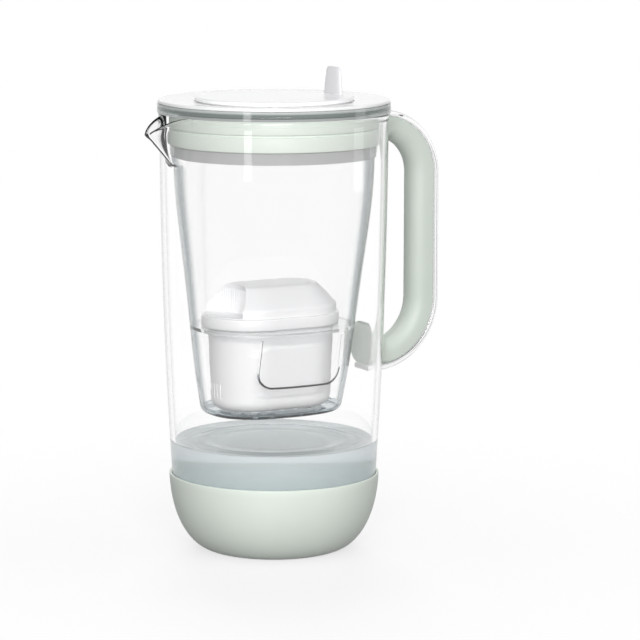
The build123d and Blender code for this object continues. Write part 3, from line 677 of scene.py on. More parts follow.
# %% [markdown]
# ## The glass jug
# The jug is blown in a mould, and while the rim is hot a spout is pulled out of it and the edge is
# fire polished to a bead. A spout could be sculpted. In rings it is a rule: a plain turned wall whose
# radius also grows inside a narrow angle towards -X, and whose rim sinks there along an arc, as the
# side view shows it.

# %% Spout
SPOUT_REACH = 17.5
SPOUT_DEPTH = 29.0
SPOUT_HALF_ANGLE = 0.26
SPOUT_ROOT_SHARE = 0.8
SPOUT_NOSE = 0.16
SPOUT_HOLLOW = 2.1
SPOUT_THINNING = 0.6
LIP_DROP = 9.5
SPOUT_ROOT = JUG_HEIGHT - SPOUT_DEPTH


def spout_share(height):
    return max(0.0, (height - SPOUT_ROOT) / (SPOUT_DEPTH - LIP_DROP))


def spout_nose(share):
    """1 at the ridge and 0 at the sides, with a small round at the ridge."""
    blunt = hypot(share, SPOUT_NOSE) - SPOUT_NOSE
    return max(0.0, 1 - blunt / (hypot(1, SPOUT_NOSE) - SPOUT_NOSE)) ** SPOUT_HOLLOW


def spout_out(angle, height):
    """How far the wall stands out at an angle from the spout's ridge, and how near the ridge it is."""
    share = spout_share(height)
    if share == 0.0:
        return 0.0, 0.0
    half = SPOUT_HALF_ANGLE * (SPOUT_ROOT_SHARE + (1 - SPOUT_ROOT_SHARE) * share)
    nose = spout_nose(min(1.0, abs(angle) / half))
    return SPOUT_REACH * share * nose, nose


# %% Rim
LIP_BOW = 0.26
LIP_LEAN = 2.0
LIP_START = 4.0


def lip_circle():
    """Centre and radius of the arc that the rim falls along, seen from the side."""
    tip = -(wall_radius(JUG_HEIGHT - LIP_DROP) + SPOUT_REACH)
    start = -(NECK_RADIUS - GLASS_WALL - LIP_START)
    a = Vector((start, JUG_HEIGHT))
    b = Vector(((start + tip) / 2 - LIP_LEAN, JUG_HEIGHT - LIP_BOW * LIP_DROP))
    c = Vector((tip - 1, JUG_HEIGHT - LIP_DROP - 1))
    turn = 2 * ((b - a).x * (c - b).y - (b - a).y * (c - b).x)
    bx, cx = (b - a).length_squared, (c - a).length_squared
    u = ((c - a).y * bx - (b - a).y * cx) / turn
    v = ((b - a).x * cx - (c - a).x * bx) / turn
    centre = a + Vector((u, v))
    return centre, (centre - a).length


LIP_CENTRE, LIP_RADIUS = lip_circle()


def rim_height(angle):
    """Height of the rim at an angle from the ridge. Past the spout it is level."""
    height = JUG_HEIGHT
    for _ in range(12):
        x = -(wall_radius(height) + spout_out(angle, height)[0]) * cos(angle)
        if x > LIP_CENTRE.x:
            return JUG_HEIGHT
        drop = sqrt(max(0.0, LIP_RADIUS**2 - (x - LIP_CENTRE.x) ** 2))
        height = (height + min(JUG_HEIGHT, LIP_CENTRE.y + drop)) / 2
    return height


print("lip arc:", [round(v, 1) for v in LIP_CENTRE], "radius", round(LIP_RADIUS, 1))
print("spout tip at", round(rim_height(0.0), 1))

# %% [markdown]
# The rings need many points where the spout is narrow and few behind it, so their angles are close
# together near -X and wide apart elsewhere. The angles are the same in every ring, so that the faces
# between two rings stay straight.

# %% Jug rings
BEAD_HEIGHT = 3.2
BEAD_EASE = 2.4
BEAD_LOW = JUG_HEIGHT - 1.6
BEAD_STEPS = 8
SQUEEZE_FROM = SPOUT_ROOT - 6
FINE_ANGLE, FINE_STEPS, COARSE_STEPS = 0.7, 72, 96
spout_angles = [FINE_ANGLE * step / FINE_STEPS for step in range(-FINE_STEPS, FINE_STEPS)]
spout_angles += [
    FINE_ANGLE + 2 * (pi - FINE_ANGLE) * step / COARSE_STEPS for step in range(COARSE_STEPS)
]
RIMS = [rim_height(a if a <= pi else a - 2 * pi) for a in spout_angles]
print("jug rings:", len(spout_angles), "points each")


def jug_ring(radius_at, height):
    """A ring whose height is squeezed under the falling rim, from the squeeze's level up."""
    ring = []
    for angle, rim in zip(spout_angles, RIMS):
        signed = angle if angle <= pi else angle - 2 * pi
        z = height
        if height > SQUEEZE_FROM:
            z = SQUEEZE_FROM + (height - SQUEEZE_FROM) * (rim - SQUEEZE_FROM) / (JUG_HEIGHT - SQUEEZE_FROM)
        radius = radius_at(signed, z, rim)
        ring.append((-radius * cos(signed), radius * sin(signed), z))
    return ring


def outer_radius(angle, z, rim):
    bulge = max(0.0, min(1.0, (BEAD_HEIGHT + BEAD_EASE / 2 - (rim - z)) / BEAD_EASE))
    return wall_radius(z) + spout_out(angle, z)[0] + RIM_BULGE * bulge * bulge * (3 - 2 * bulge)


def inner_radius(angle, z, _):
    out, nose = spout_out(angle, z)
    return wall_radius(z) + out - GLASS_WALL + SPOUT_THINNING * nose


def round_like(radius, height):
    """A round ring with the jug's own angles, or a pole."""
    if radius == 0:
        return [(0, 0, height)]
    return [(-radius * cos(a), radius * sin(a), height) for a in spout_angles]


def bead_ring(turn):
    """One ring of the polished bead, at a turn from its outer face over to its inner face."""
    share = (1 + cos(turn)) / 2
    ring = []
    for (ox, oy, oz), (ix, iy, _), rim in zip(
        jug_ring(outer_radius, BEAD_LOW), jug_ring(inner_radius, BEAD_LOW), RIMS
    ):
        z = oz + (rim - oz) * sin(turn)
        ring.append((ix + (ox - ix) * share, iy + (oy - iy) * share, z))
    return ring


# %% Jug from its rings
def spread(low, high, steps):
    """Even steps from low to high, without low itself."""
    return [low + (high - low) * step / steps for step in range(1, steps + 1)]


def jug_rings():
    """The foot, the wall, the bead, the wall's inside and the raised middle of the floor."""
    foot = [(0, BOOT_FLOOR), *heel(HEEL_RADIUS, BOOT_TOP, FOOT_RADIUS, BOOT_FLOOR)]
    levels = spread(BOOT_TOP, SQUEEZE_FROM, 24) + spread(SQUEEZE_FROM, BEAD_LOW, 26)
    inner_heel = heel(HEEL_RADIUS - GLASS_WALL, BOOT_TOP, FOOT_RADIUS - GLASS_WALL, GLASS_FLOOR)
    swing = FOOT_RADIUS / 2
    punt = bezier(
        (FOOT_RADIUS - GLASS_WALL, GLASS_FLOOR), (swing, GLASS_FLOOR), (swing, PUNT_TOP), (0, PUNT_TOP), 10
    )
    return [
        *[round_like(r, z) for r, z in foot],
        *[jug_ring(outer_radius, z) for z in levels],
        *[bead_ring(pi * step / BEAD_STEPS) for step in range(1, BEAD_STEPS)],
        *[jug_ring(inner_radius, z) for z in reversed(levels)],
        *[round_like(r, z) for r, z in [*reversed(inner_heel), *punt[1:]]],
    ]


jug_mesh = stacked("jug_glass", jug_rings())
finished("jug_glass", jug_mesh, "jug", ["glass_jug"], "clear_glass", borosilicate_glass)

# %% [markdown]
# ## The handle
# Two pieces: a clear strap outside, and a soft grip inside it that flares to a pad on the glass at
# both ends. Both follow one bent line, level out of the neck, down, and level back to the wall. It
# could be two curves drawn by hand, but they would drift apart. So the line is worked out once, for
# any distance inside the strap's outer face.

# %% Handle line
STRAP_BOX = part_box("glass_handle")
STRAP_OUT = STRAP_BOX[1].x / MM
STRAP_TOP = STRAP_BOX[1].z / MM
STRAP_BOTTOM = STRAP_BOX[0].z / MM
HANDLE_WIDTH = (STRAP_BOX[1].y - STRAP_BOX[0].y) / MM
STRAP_THICKNESS = 3.3
HANDLE_TOP_ARC = 40.0
HANDLE_FOOT_ARC = 43.5
LEVEL_STEPS, ARC_STEPS, DOWN_STEPS = 8, 24, 12


def handle_line(inset, start, end):
    """Points and outward directions along the handle, in the XZ plane, from the neck to the foot."""
    top_arc, foot_arc = HANDLE_TOP_ARC - inset, HANDLE_FOOT_ARC - inset
    top_x, foot_x = STRAP_OUT - HANDLE_TOP_ARC, STRAP_OUT - HANDLE_FOOT_ARC
    top_z, foot_z = STRAP_TOP - HANDLE_TOP_ARC, STRAP_BOTTOM + HANDLE_FOOT_ARC
    top_turns = [pi / 2 * (1 - step / ARC_STEPS) for step in range(ARC_STEPS + 1)]
    foot_turns = [-pi / 2 * step / ARC_STEPS for step in range(ARC_STEPS + 1)]
    level_out = [start, *spread(start, top_x, LEVEL_STEPS)[:-1]]
    return [
        *[(x, STRAP_TOP - inset, pi / 2) for x in level_out],
        *[(top_x + top_arc * cos(t), top_z + top_arc * sin(t), t) for t in top_turns],
        *[(STRAP_OUT - inset, z, 0.0) for z in spread(top_z, foot_z, DOWN_STEPS)[:-1]],
        *[(foot_x + foot_arc * cos(t), foot_z + foot_arc * sin(t), t) for t in foot_turns],
        *[(x, STRAP_BOTTOM + inset, -pi / 2) for x in spread(foot_x, end, LEVEL_STEPS)],
    ]


print("handle:", round(STRAP_TOP - STRAP_BOTTOM, 1), "mm high,", round(HANDLE_WIDTH, 1), "mm wide")

# %% [markdown]
# The strap is one flat section swept along that line. A bevelled curve would make it too, but its section
# can't be a flat one with its own edge radius. So Geometry Nodes make it: the line comes in as a chain of
# edges, and the tree turns it to a curve and sweeps a rounded rectangle along it. Width, thickness and
# edge are inputs of the tree.


# %% Geometry Nodes helpers
FLOAT, WHOLE, VECTOR = "NodeSocketFloat", "NodeSocketInt", "NodeSocketVector"


def new_tree(name, inputs):
    """A node tree with named inputs. Returns the tree, its input node and its output node."""
    tree = bpy.data.node_groups.new(name, "GeometryNodeTree")
    tree.interface.new_socket("Geometry", in_out="INPUT", socket_type="NodeSocketGeometry")
    for label, kind, value in inputs:
        tree.interface.new_socket(label, in_out="INPUT", socket_type=kind).default_value = value
    tree.interface.new_socket("Geometry", in_out="OUTPUT", socket_type="NodeSocketGeometry")
    return tree, add(tree, "NodeGroupInput"), add(tree, "NodeGroupOutput")


def end_tree(tree, shape, material, result):
    """End a tree as every tree here ends: its instances made real, and its material set."""
    real = add(tree, "GeometryNodeRealizeInstances", {"Geometry": shape})
    dressed = add(
        tree, "GeometryNodeSetMaterial", {"Geometry": real.outputs["Geometry"], "Material": material}
    )
    tree.links.new(dressed.outputs["Geometry"], result.inputs["Geometry"])


def grown(name, start, tree, values):
    """Run a tree on a start mesh with the given inputs, and return the result as a plain mesh."""
    thing = bpy.data.objects.new(name, start)
    scene.collection.objects.link(thing)
    change = thing.modifiers.new(name, "NODES")
    change.node_group = tree
    for socket in tree.interface.items_tree:
        if socket.in_out == "INPUT" and socket.name in values:
            change[socket.identifier] = values[socket.name]
    graph = bpy.context.evaluated_depsgraph_get()
    result = bpy.data.meshes.new_from_object(thing.evaluated_get(graph))
    thing.modifiers.remove(change)
    bpy.data.objects.remove(thing)
    result.name = name
    print(name, "grown:", len(result.polygons), "faces")
    return result


# %% Strap
STRAP_EDGE = 1.1
STRAP_SUNK = 0.8

strap_tree, given, result = new_tree(
    "strap_sweep", [("Width", FLOAT, 0.019), ("Thickness", FLOAT, 0.003), ("Edge", FLOAT, 0.001)]
)
path_curve = add(strap_tree, "GeometryNodeMeshToCurve", {"Mesh": given.outputs["Geometry"]})
plain_section = add(
    strap_tree,
    "GeometryNodeCurvePrimitiveQuadrilateral",
    {"Width": given.outputs["Width"], "Height": given.outputs["Thickness"]},
)
section = add(
    strap_tree,
    "GeometryNodeFilletCurve",
    {"Curve": plain_section.outputs["Curve"], "Count": 4, "Radius": given.outputs["Edge"]},
    mode="POLY",
)
sweep = add(
    strap_tree,
    "GeometryNodeCurveToMesh",
    {"Curve": path_curve.outputs["Curve"], "Profile Curve": section.outputs["Curve"], "Fill Caps": True},
)
end_tree(strap_tree, sweep.outputs["Mesh"], pressed_glass, result)

strap_line = handle_line(
    STRAP_THICKNESS / 2, wall_radius(STRAP_TOP) - STRAP_SUNK, wall_radius(STRAP_BOTTOM) - STRAP_SUNK
)
strap_path = bpy.data.meshes.new("strap_path")
strap_path.from_pydata(
    [(x * MM, 0, z * MM) for x, z, _ in strap_line], [(i, i + 1) for i in range(len(strap_line) - 1)], []
)
strap_mesh = grown(
    "handle_strap",
    strap_path,
    strap_tree,
    {"Width": HANDLE_WIDTH * MM, "Thickness": STRAP_THICKNESS * MM, "Edge": STRAP_EDGE * MM},
)
finished("handle_strap", strap_mesh, "jug", ["glass_handle"], "clear_glass", pressed_glass, fused_glass)
for polygon in strap_mesh.polygons:
    if polygon.center.x / MM < wall_radius(polygon.center.z / MM):
        polygon.material_index = 1

# %% [markdown]
# The grip's section is a rounded bar. Near each end it swells into the pad, and only on the side away
# from the strap. A fixed section can't be swept into that, so the grip is a stack of rings whose
# section eases from the bar's width and depth to the pad's.

# %% Grip
GRIP_THICKNESS = 14.0
GRIP_ROUND = 8.4
PAD_WIDTH = 28.0
PAD_HEIGHT = 26.0
PAD_ROUND = 9.0
FLARE_LENGTH = 16.0
FLARE_POWER = 2.2
OUTER_ROUND, PAD_OUTER_ROUND = 1.0, 8.0


def grip_section(x, z):
    """The bar, or the flare towards the pad where the line is near the glass."""
    away = max(0.0, x - wall_radius(z)) / FLARE_LENGTH
    flare = max(0.0, 1 - away) ** FLARE_POWER
    half = (HANDLE_WIDTH + (PAD_WIDTH - HANDLE_WIDTH) * flare) / 2
    deep = GRIP_THICKNESS + (PAD_HEIGHT - GRIP_THICKNESS) * flare
    inner = GRIP_ROUND + (PAD_ROUND - GRIP_ROUND) * flare
    outer = OUTER_ROUND + (PAD_OUTER_ROUND - OUTER_ROUND) * flare
    return rounded([(-half, 0, outer), (half, 0, outer), (half, -deep, inner), (-half, -deep, inner)], 8)


def grip_line():
    """The line of the grip's outer face, from the glass to the glass."""
    inset = STRAP_THICKNESS + TOUCH_GAP
    top, foot = STRAP_TOP - inset, STRAP_BOTTOM + inset
    return handle_line(inset, wall_radius(top), wall_radius(foot))


def onto_wall(ring):
    """Move a ring's points along X onto the outside of the glass."""
    return [(sqrt(max(0.0, (wall_radius(z) + TOUCH_GAP) ** 2 - y * y)), y, z) for _, y, z in ring]


def middle_of(ring):
    """The mean of a ring's points, as a ring of one point."""
    return [[sum(point[i] for point in ring) / len(ring) for i in range(3)]]


def grip_rings():
    """The section set square to the line at each place, with both ends closed on the glass."""
    rings = [
        [(x + out * cos(turn), side, z + out * sin(turn)) for side, out in grip_section(x, z)]
        for x, z, turn in grip_line()
    ]
    rings[0], rings[-1] = onto_wall(rings[0]), onto_wall(rings[-1])
    return [onto_wall(middle_of(rings[0])), *rings, onto_wall(middle_of(rings[-1]))]


finished(
    "grip_skin",
    stacked("grip_skin", grip_rings()),
    "jug",
    ["handle_grip"],
    "mint_silicone",
    grip_silicone_painted_shade,
    sharp=50,
)

# %% [markdown]
# ## The water
# Water is what the jug holds, so it rides with the jug and stands for no CAD node. A fluid simulation
# would only settle to this: a turned skin that follows the inside of the glass. It runs a fifth of a
# millimetre into the glass, because with no air between the two, the wall and the water act as one
# thick lens, as they do in real life. Its top curls up where it wets the glass, and one low ring still
# runs across it from the last drop.

# %% Water
WATER_LEVEL = 66.0
WATER_OVERLAP = 0.2
MENISCUS = 1.4
MENISCUS_WIDTH = 9.0
MENISCUS_FALL = 3.5
RIPPLE_HEIGHT = 0.7
RIPPLE_LENGTH = 24.0
RIPPLE_MIDDLE = 44.0
RIPPLE_SPREAD = 10.0


def rippled(radius):
    """Height of the surface where a drop has just sent out a few rings."""
    near = exp(-(((radius - RIPPLE_MIDDLE) / RIPPLE_SPREAD) ** 2))
    return WATER_LEVEL + RIPPLE_HEIGHT * near * cos(2 * pi * (radius - RIPPLE_MIDDLE) / RIPPLE_LENGTH)


def curled(share):
    """Height where the surface curls up at the glass: share is 0 at the glass and 1 where it is level."""
    return WATER_LEVEL + MENISCUS * (exp(-MENISCUS_FALL * share) - exp(-MENISCUS_FALL) * share)


def water_outline():
    """From the middle of the glass floor out, up the wall, and in over the surface."""
    foot = FOOT_RADIUS - GLASS_WALL + WATER_OVERLAP
    low, crown, swing = GLASS_FLOOR - WATER_OVERLAP, PUNT_TOP - WATER_OVERLAP, FOOT_RADIUS / 2
    punt = bezier((0, crown), (swing, crown), (swing, low), (foot, low), 10)
    side = heel(HEEL_RADIUS - GLASS_WALL + WATER_OVERLAP, BOOT_TOP, foot, low)
    levels = spread(BOOT_TOP, WATER_LEVEL + MENISCUS, 8)
    wall = [(wall_radius(z) - GLASS_WALL + WATER_OVERLAP, z) for z in levels]
    edge = wall[-1][0] - WATER_OVERLAP
    curl = [(edge - MENISCUS_WIDTH * share, curled(share)) for share in spread(0, 1, 8)]
    level_edge = curl[-1][0]
    surface = [(radius, rippled(radius)) for radius in spread(level_edge, 0, 60)[:-1]]
    return punt + side[1:] + wall + curl + surface + [(0, WATER_LEVEL)]


water_mesh = turned("water_fill", water_outline(), 160, closed=False)
finished("water_fill", water_mesh, "jug", [], "clear_glass", still_water)

# %% [markdown]
# ## Cutting and joining
# A slot or a scoop is easiest to make as the maker's tool does, by taking a closed shape away. A
# Boolean modifier with the exact solver does that. Its result is read back as a plain mesh, and the
# objects that made it are deleted, so that nothing is left to go wrong in the export.

# %% Cutting and joining
def with_cuts(mesh, cutters, operation="DIFFERENCE"):
    """The mesh with closed cutter meshes taken away, or only what lies inside them with INTERSECT."""
    body = bpy.data.objects.new("cut", mesh)
    scene.collection.objects.link(body)
    tools = []
    for cutter in cutters:
        tool = bpy.data.objects.new("cutter", cutter)
        scene.collection.objects.link(tool)
        tools.append(tool)
        change = body.modifiers.new("cut", "BOOLEAN")
        change.operation, change.solver, change.object = operation, "EXACT", tool
    graph = bpy.context.evaluated_depsgraph_get()
    result = bpy.data.meshes.new_from_object(body.evaluated_get(graph))
    for thing in [body, *tools]:
        bpy.data.objects.remove(thing)
    return result


def box_mesh(x, y, z, bevel=0.0, segments=3):
    """A closed box from (low, high) pairs in mm, with its edges rounded if bevel is given."""
    build = bmesh.new()
    bmesh.ops.create_cube(build, size=1.0)
    for vertex in build.verts:
        vertex.co = [
            (low + high) / 2 * MM + side * (high - low) * MM
            for (low, high), side in zip((x, y, z), vertex.co)
        ]
    if bevel:
        bmesh.ops.bevel(
            build, geom=build.edges[:], offset=bevel * MM, segments=segments, profile=0.5, affect="EDGES"
        )
    mesh = bpy.data.meshes.new("box")
    build.to_mesh(mesh)
    build.free()
    return mesh


def joined(meshes):
    """Several meshes as one."""
    build = bmesh.new()
    for mesh in meshes:
        build.from_mesh(mesh)
    result = bpy.data.meshes.new("joined")
    build.to_mesh(result)
    build.free()
    return result


# %% [markdown]
# ## The lid
# The lid is one moulding: a ring that lies on the flange, a skirt that drops into the neck, and a sunken
# seat for the flap. Its top is dished a little towards the flap. It could be built up from discs and
# tubes, but then its inner corners would be sharp. So the whole section is one closed outline with
# rounded corners, turned about the axis, and the hinge's room is then cut out of it.

# %% Lid ring
LID_TOP = top_of("lid_cover")
LID_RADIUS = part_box("lid_cover")[1].y / MM
LID_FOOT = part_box("lid_cover")[0].z / MM
FLANGE_TOP = top_of("funnel_hopper")
FLAP_TOP = top_of("flip_flap")
FLAP_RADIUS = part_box("flip_flap")[1].y / MM
FLAP_SEAT = FLANGE_TOP + 0.2
SEAT_UNDER = FLAP_SEAT - 2.0
SKIRT_WALL = 2.0
SEAT_MARGIN = 2.0
RIM_BAND = 2.4
DISH_RUN = 7.0
OPENING_RADIUS = FLAP_RADIUS - 4.1
REBATE_RADIUS = FLAP_RADIUS + 0.4
SKIRT_RADIUS = FLAP_RADIUS + 10.0
HINGE_X = FLAP_RADIUS + 2.9
HINGE_Z = LID_TOP - 2.3
KNUCKLE_HALF = 7.3
KNUCKLE_RADIUS = 2.2
PIN_RADIUS = 1.2
EAR_THICKNESS = 2.4
EAR_REACH = 3.5
LID_DISH = 0.9
CUT_SPARE = 2.0


def lid_outline():
    under, dished = FLANGE_TOP + TOUCH_GAP, LID_TOP - LID_DISH
    skirt_inside, seat_outside = SKIRT_RADIUS - SKIRT_WALL, REBATE_RADIUS + SEAT_MARGIN
    return rounded(
        [
            (skirt_inside, LID_FOOT, 0.6),
            (SKIRT_RADIUS, LID_FOOT, 0.6),
            (SKIRT_RADIUS, under, 0.3),
            (LID_RADIUS, under, 0.3),
            (LID_RADIUS, LID_TOP, 0.8),
            (LID_RADIUS - RIM_BAND, LID_TOP, 1.5),
            (REBATE_RADIUS + DISH_RUN, dished, 8),
            (REBATE_RADIUS, dished, 0.3),
            (REBATE_RADIUS, FLAP_SEAT, 0.2),
            (OPENING_RADIUS, FLAP_SEAT, 0.4),
            (OPENING_RADIUS, SEAT_UNDER, 0.4),
            (seat_outside, SEAT_UNDER, 0.4),
            (seat_outside, FLANGE_TOP, 0.4),
            (skirt_inside, FLANGE_TOP, 0.4),
        ]
    )


# %% Lid with room for the hinge
hinge_room = box_mesh(
    (OPENING_RADIUS - CUT_SPARE, HINGE_X + 2.5),
    (-KNUCKLE_HALF, KNUCKLE_HALF),
    (SEAT_UNDER - CUT_SPARE, LID_TOP + CUT_SPARE),
)
lid_mesh = with_cuts(turned("lid_ring", lid_outline()), [hinge_room])
ears = [
    box_mesh(
        (HINGE_X - KNUCKLE_RADIUS, HINGE_X + EAR_REACH),
        sorted((side * KNUCKLE_HALF, side * (KNUCKLE_HALF + EAR_THICKNESS))),
        (HINGE_Z - KNUCKLE_RADIUS, LID_TOP - 1),
        0.4,
    )
    for side in (-1, 1)
]
finished("lid_ring", joined([lid_mesh, *ears]), "lid", ["lid_cover"], "white_gloss", white_abs, sharp=35)

# %% [markdown]
# ## The flap and its thumb lever
# The flap is a shallow turned cap with a plug ring under it, which keeps it in the opening. Its lower
# edge is chamfered, so that it swings up out of its seat without rubbing. As the lid, it is one
# outline, turned, with the room for the lever's arm cut out of the plug ring.

# %% Flap
PLUG_RADIUS = OPENING_RADIUS - 0.4
PLUG_FOOT = FLAP_SEAT - 4.0
SKIN_UNDER = FLAP_TOP - 2.0
PLUG_WALL = 2.0
FLAP_HOLLOW = 0.3
FLAP_CHAMFER = 1.3
TAB_MIDDLE = FLAP_RADIUS - 7.0


def flap_outline():
    seat = FLAP_SEAT + TOUCH_GAP
    return rounded(
        [
            (0, FLAP_TOP - FLAP_HOLLOW, 0),
            (FLAP_RADIUS - 6, FLAP_TOP - FLAP_HOLLOW, 6),
            (FLAP_RADIUS - 3, FLAP_TOP, 3),
            (FLAP_RADIUS, FLAP_TOP, 1.6),
            (FLAP_RADIUS, FLAP_SEAT + FLAP_CHAMFER, 0.4),
            (FLAP_RADIUS - FLAP_CHAMFER, seat, 0.4),
            (PLUG_RADIUS, seat, 0.2),
            (PLUG_RADIUS, PLUG_FOOT, 0.5),
            (PLUG_RADIUS - PLUG_WALL, PLUG_FOOT, 0.5),
            (PLUG_RADIUS - PLUG_WALL, SKIN_UNDER, 0.5),
            (0, SKIN_UNDER, 0),
        ]
    )


arm_room = box_mesh(
    (TAB_MIDDLE - 10, HINGE_X), (-KNUCKLE_HALF, KNUCKLE_HALF), (PLUG_FOOT - CUT_SPARE, SKIN_UNDER)
)
flap_mesh = with_cuts(turned("flap_cover", flap_outline(), closed=False), [arm_room])
finished("flap_cover", flap_mesh, "flap", ["flip_flap"], "white_gloss", white_abs, sharp=35)

# %% [markdown]
# ## The thumb lever
# The lever is a second moulding, clipped under the flap: a foot and an arm that reach back to the
# hinge, and a tab that stands up through the flap. The tab could be a bevelled box, but a thumb has
# worn shapes like this one round. It is a stack of ovals that flare at the foot and shrink fast near
# the top.

# %% Thumb lever
TAB_TOP = top_of("thumb_lever")
TAB_ROUND = 4.5
TAB_LEAN = 0.3
TAB_STEPS = 8
THICK_LOW, THICK_HIGH = 2.0, 1.5
WIDE_LOW, WIDE_HIGH, WIDE_TIP = 10.6, 8.4, 3.4
TAB_FLARE = 1.6
OVAL_POWER = 2.6


def oval(x, z, half_thick, half_wide, count=48):
    """A rounded oval at a height: thick along X and wide along Y."""
    power = 2 / OVAL_POWER
    return [
        (x + half_thick * copysign(abs(c) ** power, c), half_wide * copysign(abs(s) ** power, s), z)
        for c, s in circle(count)
    ]


def tab_rings():
    low, high, lean = SKIN_UNDER, TAB_TOP - TAB_ROUND, TAB_MIDDLE + TAB_LEAN
    rings = [[(TAB_MIDDLE, 0, low)]]
    for share in [0, *spread(0, 1, TAB_STEPS)]:
        flare = TAB_FLARE * max(0.0, 1 - share * 5) ** 2
        thick = THICK_LOW - (THICK_LOW - THICK_HIGH) * share + flare * 0.6
        wide = WIDE_LOW - (WIDE_LOW - WIDE_HIGH) * share + flare
        rings.append(oval(TAB_MIDDLE + TAB_LEAN * share, low + (high - low) * share, thick, wide))
    for turn in spread(0, pi / 2, TAB_STEPS)[:-1]:
        thick = THICK_HIGH * cos(turn) ** 0.5
        wide = WIDE_TIP + (WIDE_HIGH - WIDE_TIP) * cos(turn) ** 0.6
        rings.append(oval(lean, high + TAB_ROUND * sin(turn), thick, wide))
    return [*rings, [(lean, 0, TAB_TOP)]]


# %% Lever's arm
PIN_SLACK = 0.05
ARM_HALF = KNUCKLE_HALF - 0.3
ARM_EDGE = 0.3


def knuckle_mesh():
    """A tube along Y round the pin."""
    inner = PIN_RADIUS + PIN_SLACK
    outline = [
        (inner, -ARM_HALF),
        (KNUCKLE_RADIUS, -ARM_HALF),
        (KNUCKLE_RADIUS, ARM_HALF),
        (inner, ARM_HALF),
    ]
    rings = [[(HINGE_X + r * c, y, HINGE_Z + r * s) for c, s in circle(40)] for r, y in outline]
    return stacked("knuckle", rings, closed=True)


arm_side = (-ARM_HALF, ARM_HALF)
foot_block = box_mesh((TAB_MIDDLE - 9, TAB_MIDDLE + 1), arm_side, (HINGE_Z - 1.0, SKIN_UNDER), ARM_EDGE)
arm_block = box_mesh(
    (TAB_MIDDLE, HINGE_X - PIN_RADIUS - 0.2), arm_side, (HINGE_Z - 1.6, HINGE_Z + 0.5), ARM_EDGE
)
finished(
    "lever_tab",
    joined([stacked("tab", tab_rings()), foot_block, arm_block, knuckle_mesh()]),
    "flap",
    ["thumb_lever"],
    "white_satin",
    lever_polypropylene,
    sharp=35,
)

# %% [markdown]
# ## The collar
# A soft band round the funnel's neck, in two rounded halves with a groove between them, so that it
# folds a little as the funnel is pushed in. The groove could be a dark line in the material. As it is
# modelled, it takes its shadow from any side.

# %% Collar
COLLAR_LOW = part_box("neck_collar")[0].z / MM
COLLAR_HIGH = top_of("neck_collar")
COLLAR_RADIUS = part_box("neck_collar")[1].y / MM
COLLAR_INNER = COLLAR_RADIUS - 2.5 + TOUCH_GAP
GROOVE_HALF = 0.6
GROOVE_DEPTH = 1.1
GROOVE_RISE = 0.3
BEVEL_HIGH, BEVEL_DEEP = 3.0, 0.5


def collar_outline():
    middle = (COLLAR_LOW + COLLAR_HIGH) / 2 + GROOVE_RISE
    low, high = COLLAR_LOW + TOUCH_GAP, COLLAR_HIGH - TOUCH_GAP
    return rounded(
        [
            (COLLAR_INNER, low, 0.2),
            (COLLAR_RADIUS, low, 0.9),
            (COLLAR_RADIUS, middle - GROOVE_HALF, 0.7),
            (COLLAR_RADIUS - GROOVE_DEPTH, middle - GROOVE_HALF, 0.2),
            (COLLAR_RADIUS - GROOVE_DEPTH, middle + GROOVE_HALF, 0.2),
            (COLLAR_RADIUS, middle + GROOVE_HALF, 0.7),
            (COLLAR_RADIUS, high - BEVEL_HIGH - 0.4, 0.5),
            (COLLAR_RADIUS - BEVEL_DEEP, high - BEVEL_HIGH, 0.4),
            (COLLAR_RADIUS - BEVEL_DEEP, high, 0.6),
            (COLLAR_INNER, high, 0.2),
        ]
    )


collar_mesh = turned("collar_skin", collar_outline())
finished("collar_skin", collar_mesh, "funnel", ["neck_collar"], "mint_silicone", mint_silicone)

# %% [markdown]
# ## The cartridge's cup
# A thin-walled cup that is a stadium in plan: two straight sides and two round ends. It could be a
# rounded box with its sides drawn in. A stack of stadium rings gives every height its own inset, so the
# draft, the rounded foot just above the funnel's floor, the flange that lies on the funnel's ledge, and
# the raised panel on each flat side all come from one rule.

# %% Cartridge cup
HOPPER_TOP = JUG_HEIGHT - 26.0
HOPPER_DEPTH = 155.0
HOPPER_FLOOR = HOPPER_TOP - HOPPER_DEPTH + 2.4
CARTRIDGE_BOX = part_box("cartridge_cup")
CARTRIDGE_MIDDLE = (CARTRIDGE_BOX[0].x + CARTRIDGE_BOX[1].x) / 2 / MM
CARTRIDGE_LONG = (CARTRIDGE_BOX[1].x - CARTRIDGE_BOX[0].x) / 2 / MM
CARTRIDGE_SHORT = CARTRIDGE_BOX[1].y / MM
CARTRIDGE_TOP = top_of("cartridge_cup")
LEDGE_TOP = CARTRIDGE_TOP - 7.0
LEDGE_UNDER = LEDGE_TOP - 2.0
CUP_FOOT = HOPPER_FLOOR + 1.1
CUP_INSET = 3.6
CUP_DRAW = 2.0
CUP_ROUND = 6.0
CUP_WALL = 1.5
MOUTH_INSET = 4.0
FLANGE_FLOOR = LEDGE_TOP + 1.9
PANEL_PROUD = 0.5
PANEL_LONG, PANEL_HIGH, PANEL_RISE, PANEL_CORNER = 46.0, 30.0, 9.0, 7.0
PANEL_SLOPE = 0.6


def panel_share(x, height):
    """1 inside the raised panel and 0 outside it, with a narrow slope between."""
    middle = CUP_FOOT + PANEL_RISE + PANEL_HIGH / 2
    across = max(0.0, abs(x) - (PANEL_LONG / 2 - PANEL_CORNER))
    up = max(0.0, abs(height - middle) - (PANEL_HIGH / 2 - PANEL_CORNER))
    return max(0.0, min(1.0, (PANEL_CORNER - hypot(across, up)) / PANEL_SLOPE + 0.5))


